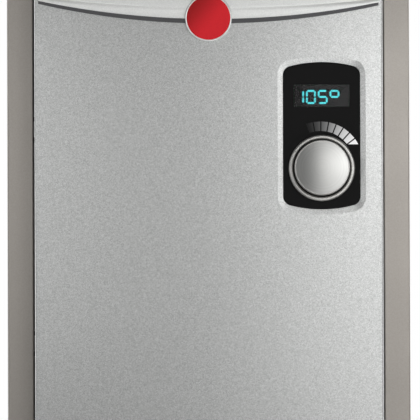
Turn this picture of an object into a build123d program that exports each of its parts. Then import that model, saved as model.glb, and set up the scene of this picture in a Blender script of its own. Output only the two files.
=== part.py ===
"""A wall-hung electric tankless water heater, as an assembly of separate pieces.

Lengths are millimetres. The wall is the plane y = 0, the front faces -Y, +Z is up and +X is
to the right as seen from the front. The origin is the middle of the back plate's rear face.
"""
import os

from build123d import *

# Clearances and helpers shared by all pieces
seat_gap = 0.1
running_gap = 0.05
cut_overrun = 6.0
pick_reach = 0.01

# Case: the cover is the tall middle box, the rails are the strips beside it
case_width = 356.0
case_height = 464.0
case_depth = 92.0
strip_width = 23.2
reveal_gap = 1.3
rail_depth = 62.0
cover_sheet = 1.2
chassis_sheet = 1.2
back_sheet = 1.5
cover_fit_gap = 0.3
cover_overlap = 6.0
cover_bend_radius = 1.8
rail_bend_radius = 1.5
rail_flange = 18.0
rail_return_depth = 12.0
end_flange_height = 15.0
tongue_length = 22.0
tongue_side_gap = 1.3

# Wall fixing holes in the back plate
wall_hole_radius = 3.25
wall_hole_from_side = 28.0
wall_hole_from_end = 25.5

# Screws that hold the cover to the tongues, two at each end
cover_screw_spacing = 200.0
cover_screw_radius = 2.0
cover_screw_head_radius = 4.4
cover_screw_head_height = 2.4
cover_screw_setback = 18.0
cover_screw_reach = 9.0
cover_slot_gap = 0.6

# Header plate with its arched lower edge, and the dark strip under it
header_side_inset = 3.5
header_top_inset = 3.5
header_base_thickness = 1.2
header_thickness = 3.4
header_edge_from_top = 44.8
header_edge_sag = 15.3
header_lean = 2.2
header_cove_width = 10.9
header_cove_end_width = 3.6
header_cove_width_shares = (0, 0.12, 0.34, 0.56, 0.78, 1)
header_cove_depth_shares = (0, 0.07, 0.5, 0.79, 0.95, 1)
header_corner_radius = 3.0
accent_thickness = 1.6
accent_mid_height = 4.0
accent_end_height = 2.6

# Round badge over the middle of the header's edge
badge_radius = 20.4
badge_rim_width = 1.2
badge_from_top = 44.1
badge_height = 5.6
badge_disc_recess = 0.7
badge_edge_radius = 0.5
badge_gap = 0.3

# Control panel: black fascia at the bottom of a dished recess in the cover
panel_from_side = 54.0
panel_from_top = 148.0
panel_width = 68.0
panel_height = 129.7
panel_end_sag = 5.3
panel_corner_radius = 8.0
recess_bevel_width = 4.8
recess_bevel_depth = 1.2
recess_depth = 3.7
recess_ledge = 3.0
recess_fit_gap = 0.25
fascia_thickness = 2.5

# Display: tinted window, module and lit bars of four seven-bar digits
window_width = 48.9
window_height = 19.5
window_level_share = 0.27217
window_recess = 0.2
window_thickness = 1.1
window_corner_radius = 1.0
module_margin = 1.0
digit_width = 8.8
digit_height = 12.4
digit_pitch = 10.4
digit_row_shift = 4.1
digit_row_drop = 1.1
digit_stroke = 1.7
digit_bar_gap = 0.35
digit_depth = 0.5

# Temperature scale: short light bars in an arc above the knob
scale_centre_left = 1.0
scale_centre_rise = 3.5
scale_inner_radius = 29.3
scale_outer_radius = 38.1
scale_first_angle = -20.5
scale_pitch_angle = 10.53
scale_bar_count = 8
scale_bar_gap = 1.1
scale_cut_height = 17.5
scale_depth = 0.8
scale_proud = 0.1

# Knob, its fixed ring and the encoder that it turns
knob_level_share = 0.2208
ring_radius = 29.3
ring_inner_radius = 25.2
ring_height = 3.6
ring_edge_radius = 1.6
knob_radius = 24.4
knob_rise = 17.5
knob_lift = 1.6
knob_wall = 2.0
knob_face_thickness = 3.0
knob_edge_radius = 1.0
knob_hub_radius = 6.5
knob_cap_margin = 1.3
knob_cap_thickness = 0.8
knob_cap_dome = 1.4
shaft_radius = 3.0
shaft_seat_gap = 0.02
bushing_radius = 4.5
bushing_rise = 3.4
hub_end_gap = 1.2
encoder_width = 13.0
encoder_height = 6.6
push_travel = 0.5
slider_radius = 4.2
slider_thickness = 1.4
slider_post_radius = 1.1
slider_post_height = 1.6
slider_chamber_gap = 0.3
encoder_floor = 0.6

# Board behind the fascia
board_sheet = 1.6
display_standoff_height = 7.6
display_standoff_radius = 3.0
display_board_side_margin = 4.0
display_board_end_margin = 8.85
display_screw_inset = 4.5
small_screw_radius = 1.25
small_screw_head_radius = 2.6
small_screw_head_height = 1.8
socket_width = 16.0
socket_height = 8.0
socket_depth = 6.0
socket_above_board_end = 12.0

# Heating chambers: two upright copper vessels on the left; radius and spacing are shares of
# the case's width, their distances from its ends are shares of its height
chamber_radius_share = 0.0618
chamber_spacing_share = 0.1966
chamber_bottom_share = 0.1709
chamber_top_share = 0.1825
chamber_wall = 1.4
chamber_floor = 3.0
chamber_boss_height = 10.0
chamber_y = -36.0
port_length = 7.0
port_wall = 1.6
port_end_share = 0.08
pipe_radius = 11.1
pipe_wall = 1.0
pipe_socket_depth = 6.0

# Heating elements, screwed into the chambers' tops
element_thread_radius = 16.0
element_thread_length = 8.0
element_hex_width = 38.0
element_hex_height = 9.0
element_gasket_radius = 20.0
element_gasket_thickness = 1.5
element_rod_radius = 4.0
element_rod_spacing = 18.0
element_rod_end_gap = 14.0
element_loop_flat = 0.01
element_bush_radius = 5.5
element_bush_height = 6.0
element_stud_radius = 2.6
element_stud_height = 9.0

# Saddles behind the chambers and straps in front of them
saddle_height = 22.0
saddle_level_share = 0.3167
saddle_margin = 14.0
saddle_side_gap = 2.0
strap_sheet = 1.5
strap_width = 14.0
strap_screw_radius = 2.0
strap_screw_head_radius = 4.0
strap_screw_head_height = 2.4
strap_screw_reach = 12.0

# Fittings at the bottom: brass unions with the outside pipe thread
thread_radius = 13.33
thread_length = 18.0
neck_radius = 14.5
union_bore_radius = 9.4
union_collar_width = 34.0
union_collar_height = 7.0
union_socket_height = 14.0
union_socket_wall = 2.0
locknut_width = 36.0
locknut_height = 7.0
washer_radius = 19.0
washer_thickness = 1.5
inlet_x = 0.0
inlet_bend_radius = 17.0

# Flow sensor between the inlet fitting and the inlet pipe
sensor_radius = 17.0
sensor_length = 42.0
sensor_bore_radius = 12.6
sensor_spider_thickness = 2.5
sensor_spider_width = 3.0
rotor_radius = 11.6
rotor_hub_radius = 4.0
rotor_length = 15.0
rotor_vane_thickness = 1.6
rotor_vane_count = 6
rotor_pin_radius = 1.5
rotor_end_play = 0.4
pickup_width = 16.0
pickup_depth = 9.0
pickup_height = 18.0

# Probes and high-limit cut-outs
probe_band_width = 10.0
probe_band_wall = 1.2
probe_radius = 3.2
probe_length = 9.0
limit_base_width = 27.0
limit_base_depth = 3.5
limit_body_radius = 12.0
limit_body_height = 9.0
limit_seat_depth = 2.0
limit_gap_share = 0.384
button_radius = 2.4
button_proud = 3.0
button_seat_depth = 3.2
button_travel = 1.0
button_gap = 0.3

# Switching plate on the right chamber
triac_plate_width = 34.0
triac_plate_height = 106.0
triac_plate_thickness = 7.0
triac_seat_depth = 2.5
triac_plate_gap_share = 0.395
triac_width = 15.5
triac_height = 20.0
triac_thickness = 4.8
triac_pitch = 25.0
triac_count = 4

# Control board on the right
control_board_left_share = 0.0843
control_board_from_side = 26.0
control_board_height = 190.0
control_board_from_top = 40.0
control_standoff_height = 8.0
control_standoff_radius = 3.2
control_screw_inset = 6.0
header_wall = 1.4
header_engagement = 5.0
header_fit_gap = 0.3
header_left_inset = 26.0
header_up_inset = 30.0
plug_length = 7.0
gate_header_left_inset = 6.0
gate_header_up_inset = 9.0
gate_header_width = 7.0
gate_header_margin = 4.0
gate_header_depth = 7.0
gate_lead_pitch = 5.0
sensor_header_left_inset = 38.0
sensor_header_up_inset = 5.0
sensor_header_margin = 4.0
sensor_header_height = 7.0
sensor_header_depth = 7.0
sensor_lead_pitch = 5.0
sensor_lead_count = 3

# Parts on the control board
relay_width = 17.0
relay_height = 21.0
relay_depth = 17.0
relay_spacing = 6.0
relay_count = 4
relay_from_left = 16.0
relay_from_top = 14.0
capacitor_radius = 5.0
capacitor_length = 20.0
capacitor_spacing = 16.0
capacitor_count = 3
capacitor_from_left = 22.0
capacitor_from_top = 56.0
transformer_width = 34.0
transformer_height = 30.0
transformer_depth = 25.0
transformer_from_left = 74.0
transformer_from_top = 48.0
processor_width = 14.0
processor_thickness = 1.6
processor_from_left = 60.0
processor_from_top = 112.0

# Terminal block, its screws and the earth lug
terminal_left_share = 0.1461
terminal_from_side = 34.0
terminal_height = 30.0
terminal_depth = 26.0
terminal_from_end_share = 0.2586
terminal_count = 4
terminal_rib_thickness = 2.0
terminal_rib_depth = 6.0
terminal_screw_radius = 4.0
terminal_screw_height = 3.0
terminal_slot_width = 1.0
terminal_slot_depth = 1.2
terminal_screw_inset = 8.0
lug_width = 14.0
lug_height = 24.0
lug_depth = 11.0
lug_bore_radius = 3.6
lug_from_side = 32.0
lug_from_end_share = 0.1336
lug_screw_radius = 3.0
lug_screw_head_radius = 4.5
lug_screw_head_height = 3.0

# Conduit entries in the bottom plate
large_entry_radius = 14.1
small_entry_radius = 11.1
large_entry_from_side = 108.0
small_entry_from_side = 54.0
entry_y = -31.0

# Leads inside the case
power_lead_radius = 2.1
power_lead_pitch = 6.2
power_lead_y = -20.0
power_lead_left_x = 3.0
power_lead_low_rise = 24.0
power_lead_high_rise = 20.0
lead_bend_share = 0.45
gate_lead_radius = 0.9
gate_lead_left_x = -20.0
sensor_lead_radius = 1.1
sensor_lead_rise = 8.5
harness_radius = 2.0
harness_level_y = -48.0
plug_width = 16.0
plug_height = 8.0

# Places worked out from the sizes above
case_half = case_width / 2
case_top = case_height / 2
strip_inner = case_half - strip_width
cover_half = strip_inner - reveal_gap
cover_front = -case_depth
cover_rear = -rail_depth + cover_overlap
back_front = -back_sheet
strip_front = -rail_depth
end_plate_outer = case_top - cover_sheet - cover_fit_gap
end_plate_inner = end_plate_outer - chassis_sheet
cover_screw_y = cover_front + cover_screw_setback

panel_x = cover_half - panel_from_side
panel_z = case_top - panel_from_top
recess_rim = cover_front + recess_bevel_depth
recess_floor = cover_front + recess_depth
fascia_front = recess_floor - fascia_thickness
window_z = panel_z + panel_height * window_level_share
window_front = fascia_front + window_recess
module_front = window_front + window_thickness
knob_x = panel_x
knob_z = panel_z - panel_height * knob_level_share
scale_x = knob_x - scale_centre_left
scale_z = knob_z + scale_centre_rise
knob_top = fascia_front - knob_rise
knob_base = fascia_front - knob_lift
display_board_front = recess_floor + display_standoff_height
display_board_rear = display_board_front + board_sheet
display_board_width = panel_width - 2 * display_board_side_margin
display_board_height = panel_height - 2 * display_board_end_margin
encoder_front = display_board_front - encoder_height
bushing_front = fascia_front - bushing_rise
slider_rear = display_board_front - encoder_floor - slider_chamber_gap - push_travel
slider_front = slider_rear - slider_thickness
shaft_rear = slider_front - seat_gap

chamber_radius = case_width * chamber_radius_share
chamber_left_x = -case_half + rail_flange + saddle_side_gap + saddle_margin + chamber_radius
chamber_right_x = chamber_left_x + case_width * chamber_spacing_share
chamber_bottom = -case_top + case_height * chamber_bottom_share
chamber_top = case_top - case_height * chamber_top_share
chamber_length = chamber_top - chamber_bottom
chamber_middle = (chamber_bottom + chamber_top) / 2
chamber_front = chamber_y - chamber_radius
element_seat = chamber_top + element_gasket_thickness
element_hex_top = element_seat + element_hex_height
element_stud_top = element_hex_top + element_bush_height + element_stud_height
port_low_z = chamber_bottom + chamber_length * port_end_share
port_high_z = chamber_top - chamber_length * port_end_share

# The switching plate and the cut-outs share the height between the straps
saddle_low_z = chamber_middle - chamber_length * saddle_level_share
saddle_high_z = chamber_middle + chamber_length * saddle_level_share
strap_low_edge = saddle_low_z + strap_width / 2
strap_high_edge = saddle_high_z - strap_width / 2
spare_height = strap_high_edge - strap_low_edge - triac_plate_height - limit_base_width
triac_plate_bottom = strap_low_edge + spare_height * triac_plate_gap_share
limit_z = strap_high_edge - spare_height * limit_gap_share - limit_base_width / 2

floor_top = -end_plate_inner
floor_bottom = -end_plate_outer
union_collar_top = floor_top + union_collar_height
union_top = union_collar_top + union_socket_height
locknut_top = floor_bottom - washer_thickness
thread_top = locknut_top - locknut_height
thread_end = thread_top - thread_length
sensor_bottom = union_top - pipe_socket_depth
sensor_top = sensor_bottom + sensor_length

control_board_rear = back_front - control_standoff_height
control_board_front = control_board_rear - board_sheet
control_board_top = end_plate_inner - control_board_from_top
control_board_bottom = control_board_top - control_board_height
control_board_left = case_width * control_board_left_share
control_board_right = case_half - control_board_from_side
terminal_left = case_width * terminal_left_share
terminal_right = case_half - terminal_from_side
terminal_width = terminal_right - terminal_left
terminal_top = floor_top + case_height * terminal_from_end_share
terminal_bottom = terminal_top - terminal_height
terminal_front = back_front - terminal_depth
terminal_pitch = terminal_width / terminal_count


# Basic shapes, placed by their limits
def block(x_from, x_to, y_from, y_to, z_from, z_to):
    """Box between two limits along each axis."""
    corner = (Align.MIN, Align.MIN, Align.MIN)
    return Pos(x_from, y_from, z_from) * Box(x_to - x_from, y_to - y_from, z_to - z_from, align=corner)


def rod_x(y, z, x_from, x_to, radius):
    """Cylinder along X."""
    upright = Cylinder(radius, x_to - x_from, align=(Align.CENTER, Align.CENTER, Align.MIN))
    return Pos(x_from, y, z) * Rot(0, 90, 0) * upright


def rod_y(x, z, y_from, y_to, radius):
    """Cylinder along Y."""
    upright = Cylinder(radius, y_to - y_from, align=(Align.CENTER, Align.CENTER, Align.MIN))
    return Pos(x, y_from, z) * Rot(-90, 0, 0) * upright


def rod_z(x, y, z_from, z_to, radius):
    """Cylinder along Z."""
    upright = Cylinder(radius, z_to - z_from, align=(Align.CENTER, Align.CENTER, Align.MIN))
    return Pos(x, y, z_from) * upright


def hex_z(x, y, z_from, z_to, width):
    """Hexagonal prism along Z, given by its width across the flats."""
    outline = RegularPolygon(width / 2, 6, major_radius=False)
    return Pos(x, y, z_from) * extrude(outline, z_to - z_from)


def facing_front(y, x=0, z=0):
    """Plane parallel to the wall, with its normal towards the front."""
    return Plane(origin=(x, y, z), x_dir=(1, 0, 0), z_dir=(0, -1, 0))


def front_plate(outline, rear, front, x=0, z=0):
    """Plate of a given outline, from its rear face to its front face."""
    return extrude(facing_front(rear, x, z) * outline, rear - front)


def edges_at(shape, along, **place):
    """Straight edges along an axis whose middle lies at the given coordinates."""
    found = shape.edges().filter_by(along)
    for name, value in place.items():
        found = ShapeList([edge for edge in found if abs(getattr(edge.center(), name) - value) < pick_reach])
    return found


def pipe_along(points, radii, outer_radius, inner_radius=0):
    """Round bar or pipe along straight runs joined by tangent arcs."""
    path = FilletPolyline(*points, radius=radii)
    start = Plane(origin=path @ 0, z_dir=path % 0)
    section = Circle(outer_radius)
    if inner_radius > 0:
        section = section - Circle(inner_radius)
    return sweep(start * section, path=path)


def separate(pieces):
    """Group of separate solids that share one node."""
    solids = []
    for piece in pieces:
        solids.extend(piece.solids())
    return Compound(children=solids)


# Chassis sheet metal
def back_plate():
    """Flat rear plate with the four wall fixing holes."""
    plate = block(-case_half, case_half, back_front, 0, -end_plate_outer, end_plate_outer)
    hole_x = case_half - wall_hole_from_side
    hole_z = end_plate_outer - wall_hole_from_end
    for x in (-hole_x, hole_x):
        for z in (-hole_z, hole_z):
            plate -= rod_y(x, z, back_front - cut_overrun, cut_overrun, wall_hole_radius)
    return plate


def side_rail(side):
    """Side rail: rear flange, side wall, front strip and inner return, bent from one sheet."""
    rear = back_front
    wall = block(case_half - chassis_sheet, case_half, strip_front, rear, floor_top, end_plate_inner)
    strip = block(
        strip_inner, case_half,
        strip_front, strip_front + chassis_sheet,
        floor_top, end_plate_inner,
    )
    inner_return = block(
        strip_inner, strip_inner + chassis_sheet,
        strip_front, strip_front + rail_return_depth,
        floor_top, end_plate_inner,
    )
    flange = block(case_half - rail_flange, case_half, rear - chassis_sheet, rear, floor_top, end_plate_inner)
    rail = wall + strip + inner_return + flange
    outer_bend = edges_at(rail, Axis.Z, X=case_half, Y=strip_front)
    inner_bend = edges_at(rail, Axis.Z, X=strip_inner, Y=strip_front)
    rail = fillet(outer_bend + inner_bend, rail_bend_radius)
    if side < 0:
        rail = mirror(rail, about=Plane.YZ)
    return rail


def end_plate():
    """Top plate: rear flange, shelf between the rails' ends, and a tongue under the cover."""
    tongue_half = strip_inner - reveal_gap - cover_sheet - tongue_side_gap
    tongue_front = strip_front - tongue_length
    shelf = block(-case_half, case_half, strip_front, back_front, end_plate_inner, end_plate_outer)
    tongue = block(-tongue_half, tongue_half, tongue_front, back_front, end_plate_inner, end_plate_outer)
    flange_half = case_half - rail_flange - reveal_gap
    flange = block(
        -flange_half, flange_half,
        back_front - chassis_sheet, back_front,
        end_plate_inner - end_flange_height, end_plate_outer,
    )
    plate = shelf + tongue + flange
    notch_rear = cover_rear + reveal_gap
    for side in (-1, 1):
        near = side * tongue_half
        far = side * strip_inner
        plate -= block(
            min(near, far), max(near, far),
            strip_front - cut_overrun, notch_rear,
            end_plate_inner - cut_overrun, end_plate_outer + cut_overrun,
        )
    for x in cover_screw_places():
        plate -= rod_z(
            x, cover_screw_y,
            end_plate_inner - cut_overrun, end_plate_outer + cut_overrun,
            cover_screw_radius + running_gap,
        )
    return plate


def cover_screw_places():
    """Positions of the cover screws along X."""
    return (-cover_screw_spacing / 2, cover_screw_spacing / 2)


def top_plate():
    """Plain end plate at the top."""
    return end_plate()


def bottom_plate():
    """End plate at the bottom, with the pipe holes and the conduit entries."""
    plate = mirror(end_plate(), about=Plane.XY)
    low = floor_bottom - cut_overrun
    high = floor_top + cut_overrun
    for x in (chamber_left_x, inlet_x):
        plate -= rod_z(x, chamber_y, low, high, neck_radius + seat_gap)
    large_entry_x = case_half - large_entry_from_side
    small_entry_x = case_half - small_entry_from_side
    plate -= rod_z(large_entry_x, entry_y, low, high, large_entry_radius)
    plate -= rod_z(small_entry_x, entry_y, low, high, small_entry_radius)
    return plate


def cover_screws():
    """Screws that stand in the tongues; the cover's slotted end walls slip under their heads."""
    head_seat = case_top + seat_gap
    pieces = []
    for x in cover_screw_places():
        shank = rod_z(x, cover_screw_y, case_top - cover_screw_reach, head_seat, cover_screw_radius)
        head = rod_z(
            x, cover_screw_y,
            head_seat, head_seat + cover_screw_head_height,
            cover_screw_head_radius,
        )
        screw = shank + head
        pieces.append(screw)
        pieces.append(mirror(screw, about=Plane.XY))
    return separate(pieces)


# Front cover with its header, strip and badge
def panel_outline(grow=0):
    """Outline of the control panel: straight sides, bowed ends, rounded corners."""
    half_width = panel_width / 2 + grow
    half_height = panel_height / 2 + grow
    side_height = half_height - panel_end_sag
    right = Line((half_width, -side_height), (half_width, side_height))
    top = ThreePointArc((half_width, side_height), (0, half_height), (-half_width, side_height))
    left = Line((-half_width, side_height), (-half_width, -side_height))
    bottom = ThreePointArc((-half_width, -side_height), (0, -half_height), (half_width, -side_height))
    outline = make_face(Curve() + [right, top, left, bottom])
    return fillet(outline.vertices(), panel_corner_radius + grow)


def panel_recess(grow, front, rim, floor):
    """Solid that fills the recess, or its outer skin: a shallow bevel down to a straight pocket."""
    mouth = facing_front(front, panel_x, panel_z) * panel_outline(recess_bevel_width + grow)
    base_outline = panel_outline(recess_fit_gap + grow)
    base = facing_front(rim, panel_x, panel_z) * base_outline
    return loft([mouth, base], ruled=True) + front_plate(base_outline, floor, rim, panel_x, panel_z)


def front_cover():
    """Folded cover tray with the dished recess for the control panel."""
    outer = block(-cover_half, cover_half, cover_front, cover_rear, -case_top, case_top)
    front_edges = edges_at(outer, Axis.Z, Y=cover_front) + edges_at(outer, Axis.X, Y=cover_front)
    outer = fillet(front_edges, cover_bend_radius)
    inner_half = cover_half - cover_sheet
    inner_top = case_top - cover_sheet
    inner_front = cover_front + cover_sheet
    inner = block(-inner_half, inner_half, inner_front, cover_rear + cut_overrun, -inner_top, inner_top)
    inner_edges = edges_at(inner, Axis.Z, Y=inner_front) + edges_at(inner, Axis.X, Y=inner_front)
    inner = fillet(inner_edges, cover_bend_radius - cover_sheet)
    cover = outer - inner
    skin = panel_recess(cover_sheet, cover_front, recess_rim + cover_sheet, recess_floor + cover_sheet)
    dish = panel_recess(0, cover_front, recess_rim, recess_floor)
    cover = cover + skin - dish
    mouth_front = cover_front - cut_overrun
    mouth = panel_outline(recess_bevel_width)
    cover -= front_plate(mouth, cover_front, mouth_front, panel_x, panel_z)
    opening = panel_outline(-recess_ledge)
    cover -= front_plate(opening, recess_floor + cut_overrun, mouth_front, panel_x, panel_z)
    slot_half = cover_screw_radius + cover_slot_gap
    low = inner_top - cut_overrun
    high = case_top + cut_overrun
    for x in cover_screw_places():
        slot = block(x - slot_half, x + slot_half, cover_screw_y, cover_rear + cut_overrun, low, high)
        slot += rod_z(x, cover_screw_y, low, high, slot_half)
        cover -= slot
        cover -= mirror(slot, about=Plane.XY)
    return cover


def arch_points(half_width, low_middle, sag):
    """Left end, middle and right end of an arch whose right end hangs a little lower."""
    left_end = low_middle + sag + header_lean / 2
    right_end = low_middle + sag - header_lean / 2
    return (-half_width, left_end), (0, low_middle), (half_width, right_end)


def arched_outline(half_width, low_middle, sag, top):
    """Area above an arched lower edge, up to a straight top."""
    left_end, middle, right_end = arch_points(half_width, low_middle, sag)
    arch = ThreePointArc(left_end, middle, right_end)
    right = Line(right_end, (half_width, top))
    across = Line((half_width, top), (-half_width, top))
    left = Line((-half_width, top), left_end)
    return make_face(Curve() + [arch, right, across, left])


def badge_clearance():
    """Round hole in the header and the strip that the badge stands in."""
    badge_z = case_top - badge_from_top
    return rod_y(
        0, badge_z,
        cover_front - header_thickness - cut_overrun, cover_front + cut_overrun,
        badge_radius + badge_gap,
    )


def header_plate():
    """Raised plate over the cover's top, with a hollow cove along its arched lower edge."""
    half_width = cover_half - header_side_inset
    top = case_top - header_top_inset
    edge = case_top - header_edge_from_top
    front = cover_front - header_thickness
    cove_depth = header_thickness - header_base_thickness
    sections = []
    for width_share, depth_share in zip(header_cove_width_shares, header_cove_depth_shares):
        width = header_cove_width * (1 - width_share)
        end_width = header_cove_end_width * (1 - width_share)
        outline = arched_outline(half_width, edge + width, header_edge_sag - width + end_width, top)
        sections.append(facing_front(front + cove_depth * depth_share) * outline)
    raised = loft(sections, ruled=True)
    outline = arched_outline(half_width, edge, header_edge_sag, top)
    plate = raised + front_plate(outline, cover_front, front + cove_depth)
    corners = edges_at(plate, Axis.Y, Z=top)
    plate = fillet(corners, header_corner_radius)
    return plate - badge_clearance()


def accent_strip():
    """Dark arched strip that follows the header's lower edge."""
    half_width = cover_half - header_side_inset
    upper = case_top - header_edge_from_top - seat_gap
    lower = upper - accent_mid_height
    lower_sag = header_edge_sag + accent_mid_height - accent_end_height
    upper_left, upper_middle, upper_right = arch_points(half_width, upper, header_edge_sag)
    lower_left, lower_middle, lower_right = arch_points(half_width, lower, lower_sag)
    upper_arc = ThreePointArc(upper_right, upper_middle, upper_left)
    left = Line(upper_left, lower_left)
    lower_arc = ThreePointArc(lower_left, lower_middle, lower_right)
    right = Line(lower_right, upper_right)
    outline = make_face(Curve() + [upper_arc, left, lower_arc, right])
    strip = front_plate(outline, cover_front, cover_front - accent_thickness)
    return separate([strip - badge_clearance()])


def badge_rim():
    """Bright rim round the badge."""
    badge_z = case_top - badge_from_top
    front = cover_front - badge_height
    ring = rod_y(0, badge_z, front, cover_front, badge_radius)
    ring -= rod_y(0, badge_z, front - cut_overrun, cover_front + cut_overrun, badge_radius - badge_rim_width)
    front_circles = ring.edges().filter_by(GeomType.CIRCLE).group_by(Axis.Y)[0]
    return fillet(front_circles, badge_edge_radius)


def badge_disc():
    """Blank coloured disc inside the rim."""
    badge_z = case_top - badge_from_top
    front = cover_front - badge_height + badge_disc_recess
    return rod_y(0, badge_z, front, cover_front, badge_radius - badge_rim_width - running_gap)


# Control panel and display
def window_outline(grow=0):
    """Rounded rectangle of the display window."""
    return RectangleRounded(window_width + 2 * grow, window_height + 2 * grow, window_corner_radius + grow)


def scale_outline(index, grow=0):
    """One bar of the temperature scale, as a ring sector round the scale's centre."""
    inner = scale_inner_radius - grow
    outer = scale_outer_radius + grow
    ring = Circle(outer) - Circle(inner)
    middle_angle = scale_first_angle + (index + 1 / 2) * scale_pitch_angle
    half_angle = scale_pitch_angle / 2
    reach = outer / cos_of(half_angle)
    left = turned_point(reach, middle_angle - half_angle)
    right = turned_point(reach, middle_angle + half_angle)
    wedge = make_face(Polyline((0, 0), left, right, close=True))
    wedge = offset(wedge, grow - scale_bar_gap / 2, kind=Kind.INTERSECTION)
    bar = ring & wedge
    span = 2 * outer
    keep = Pos(0, scale_cut_height - grow + outer) * Rectangle(span, span)
    return (bar & keep).faces()[0]


def cos_of(angle):
    """Cosine of an angle in degrees."""
    return Vector(1, 0).rotate(Axis.Z, angle).X


def turned_point(radius, angle):
    """Point at a radius and an angle clockwise from straight up."""
    point = Vector(0, radius).rotate(Axis.Z, -angle)
    return (point.X, point.Y)


def control_fascia():
    """Black panel with openings for the window, the scale bars and the encoder's bushing."""
    plate = front_plate(panel_outline(), recess_floor, fascia_front, panel_x, panel_z)
    deep = recess_floor + cut_overrun
    shallow = fascia_front - cut_overrun
    plate -= front_plate(window_outline(seat_gap), deep, shallow, panel_x, window_z)
    plate -= rod_y(knob_x, knob_z, shallow, deep, bushing_radius + seat_gap)
    pocket_floor = fascia_front + scale_depth
    for index in range(scale_bar_count):
        plate -= front_plate(scale_outline(index, running_gap), pocket_floor, shallow, scale_x, scale_z)
    return plate


def scale_segments():
    """Light bars set into the fascia, from dim on the left to bright on the right."""
    floor = fascia_front + scale_depth
    front = fascia_front - scale_proud
    bars = [
        front_plate(scale_outline(index), floor, front, scale_x, scale_z)
        for index in range(scale_bar_count)
    ]
    return separate(bars)


def display_window():
    """Tinted window that lies on the display module."""
    return front_plate(window_outline(), module_front, window_front, panel_x, window_z)


def bar_outline(length):
    """Pointed bar of a seven-bar digit, lying along X."""
    half = length / 2
    point = digit_stroke / 2
    return Polyline(
        (-half, 0), (point - half, point), (half - point, point),
        (half, 0), (half - point, -point), (point - half, -point),
        close=True,
    )


def digit_bars(lit, grow=0):
    """Faces of the lit bars of one digit, centred on the digit's middle."""
    column = (digit_width - digit_stroke) / 2
    half_column = (digit_height - digit_stroke) / 2
    long_bar = half_column - digit_bar_gap
    wide_bar = 2 * column - digit_bar_gap
    level = {
        "top": Pos(0, half_column), "middle": Pos(0, 0), "low": Pos(0, -half_column),
    }
    upright = {
        "upper_left": Pos(-column, half_column / 2), "upper_right": Pos(column, half_column / 2),
        "lower_left": Pos(-column, -half_column / 2), "lower_right": Pos(column, -half_column / 2),
    }
    faces = []
    for name in lit:
        if name in level:
            bar = level[name] * make_face(bar_outline(wide_bar))
        else:
            bar = upright[name] * Rot(0, 0, 90) * make_face(bar_outline(long_bar))
        if grow > 0:
            bar = offset(bar, grow, kind=Kind.INTERSECTION)
        faces.append(bar)
    return faces


def shown_digits():
    """Lit bars of the four places: one, nought, five and a raised ring for degrees."""
    one = ("upper_right", "lower_right")
    nought = ("top", "low", "upper_left", "upper_right", "lower_left", "lower_right")
    five = ("top", "middle", "low", "upper_left", "lower_right")
    degree = ("top", "middle", "upper_left", "upper_right")
    return (one, nought, five, degree)


def digit_solids(floor, front, grow=0):
    """Solids of every lit bar between two depths."""
    row_middle = panel_x - digit_row_shift
    row_z = window_z - digit_row_drop
    first = row_middle - digit_pitch * (len(shown_digits()) - 1) / 2
    solids = []
    for place, lit in enumerate(shown_digits()):
        x = first + place * digit_pitch
        for face in digit_bars(lit, grow):
            solids.append(front_plate(face, floor, front, x, row_z))
    return solids


def display_digits():
    """Light bars of the shown number, set into the module's face."""
    return separate(digit_solids(module_front + digit_depth, module_front))


def display_module():
    """Display module between the board and the window, with pockets for the light bars."""
    outline = Rectangle(window_width - 2 * module_margin, window_height - 2 * module_margin)
    module = front_plate(outline, display_board_front, module_front, panel_x, window_z)
    overrun = module_front - window_thickness / 2
    for pocket in digit_solids(module_front + digit_depth, overrun, running_gap / 2):
        module -= pocket
    return module


# Knob and encoder
def knob_ring():
    """Fixed satin ring that stands on the fascia round the knob."""
    front = fascia_front - ring_height
    ring = rod_y(knob_x, knob_z, front, fascia_front, ring_radius)
    ring -= rod_y(knob_x, knob_z, front - cut_overrun, fascia_front + cut_overrun, ring_inner_radius)
    front_circles = ring.edges().filter_by(GeomType.CIRCLE).group_by(Axis.Y)[0]
    return fillet(front_circles, ring_edge_radius)


def temperature_knob():
    """Hollow knob with a hub for the shaft and a shallow seat for the face disc."""
    knob = rod_y(knob_x, knob_z, knob_top, knob_base, knob_radius)
    front_circle = knob.edges().filter_by(GeomType.CIRCLE).group_by(Axis.Y)[0]
    knob = fillet(front_circle, knob_edge_radius)
    inner_face = knob_top + knob_face_thickness
    knob -= rod_y(knob_x, knob_z, inner_face, knob_base + cut_overrun, knob_radius - knob_wall)
    hub_end = bushing_front - hub_end_gap
    knob += rod_y(knob_x, knob_z, inner_face, hub_end, knob_hub_radius)
    knob -= rod_y(knob_x, knob_z, inner_face, hub_end + cut_overrun, shaft_radius + shaft_seat_gap)
    cap_seat = knob_top + knob_cap_thickness
    return knob - rod_y(knob_x, knob_z, knob_top - cut_overrun, cap_seat, knob_radius - knob_cap_margin)


def knob_cap():
    """Satin metal disc in the knob's face, with a shallow dome."""
    radius = knob_radius - knob_cap_margin - running_gap
    dome_radius = (radius ** 2 + knob_cap_dome ** 2) / (2 * knob_cap_dome)
    front = knob_top - knob_cap_dome
    disc = rod_y(knob_x, knob_z, front, knob_top + knob_cap_thickness, radius)
    return disc & Pos(knob_x, front + dome_radius, knob_z) * Sphere(dome_radius)


def encoder_shaft():
    """Encoder shaft: the knob's seat in front, a small bore for the slider's post behind."""
    shaft = rod_y(knob_x, knob_z, knob_top + knob_face_thickness + seat_gap, shaft_rear, shaft_radius)
    post_end = slider_front - slider_post_height - seat_gap
    return shaft - rod_y(knob_x, knob_z, post_end, shaft_rear + cut_overrun, slider_post_radius + running_gap)


def push_switch_slider():
    """Plunger behind the shaft that works the push switch."""
    disc = rod_y(knob_x, knob_z, slider_front, slider_rear, slider_radius)
    return disc + rod_y(knob_x, knob_z, slider_front - slider_post_height, slider_front, slider_post_radius)


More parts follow.
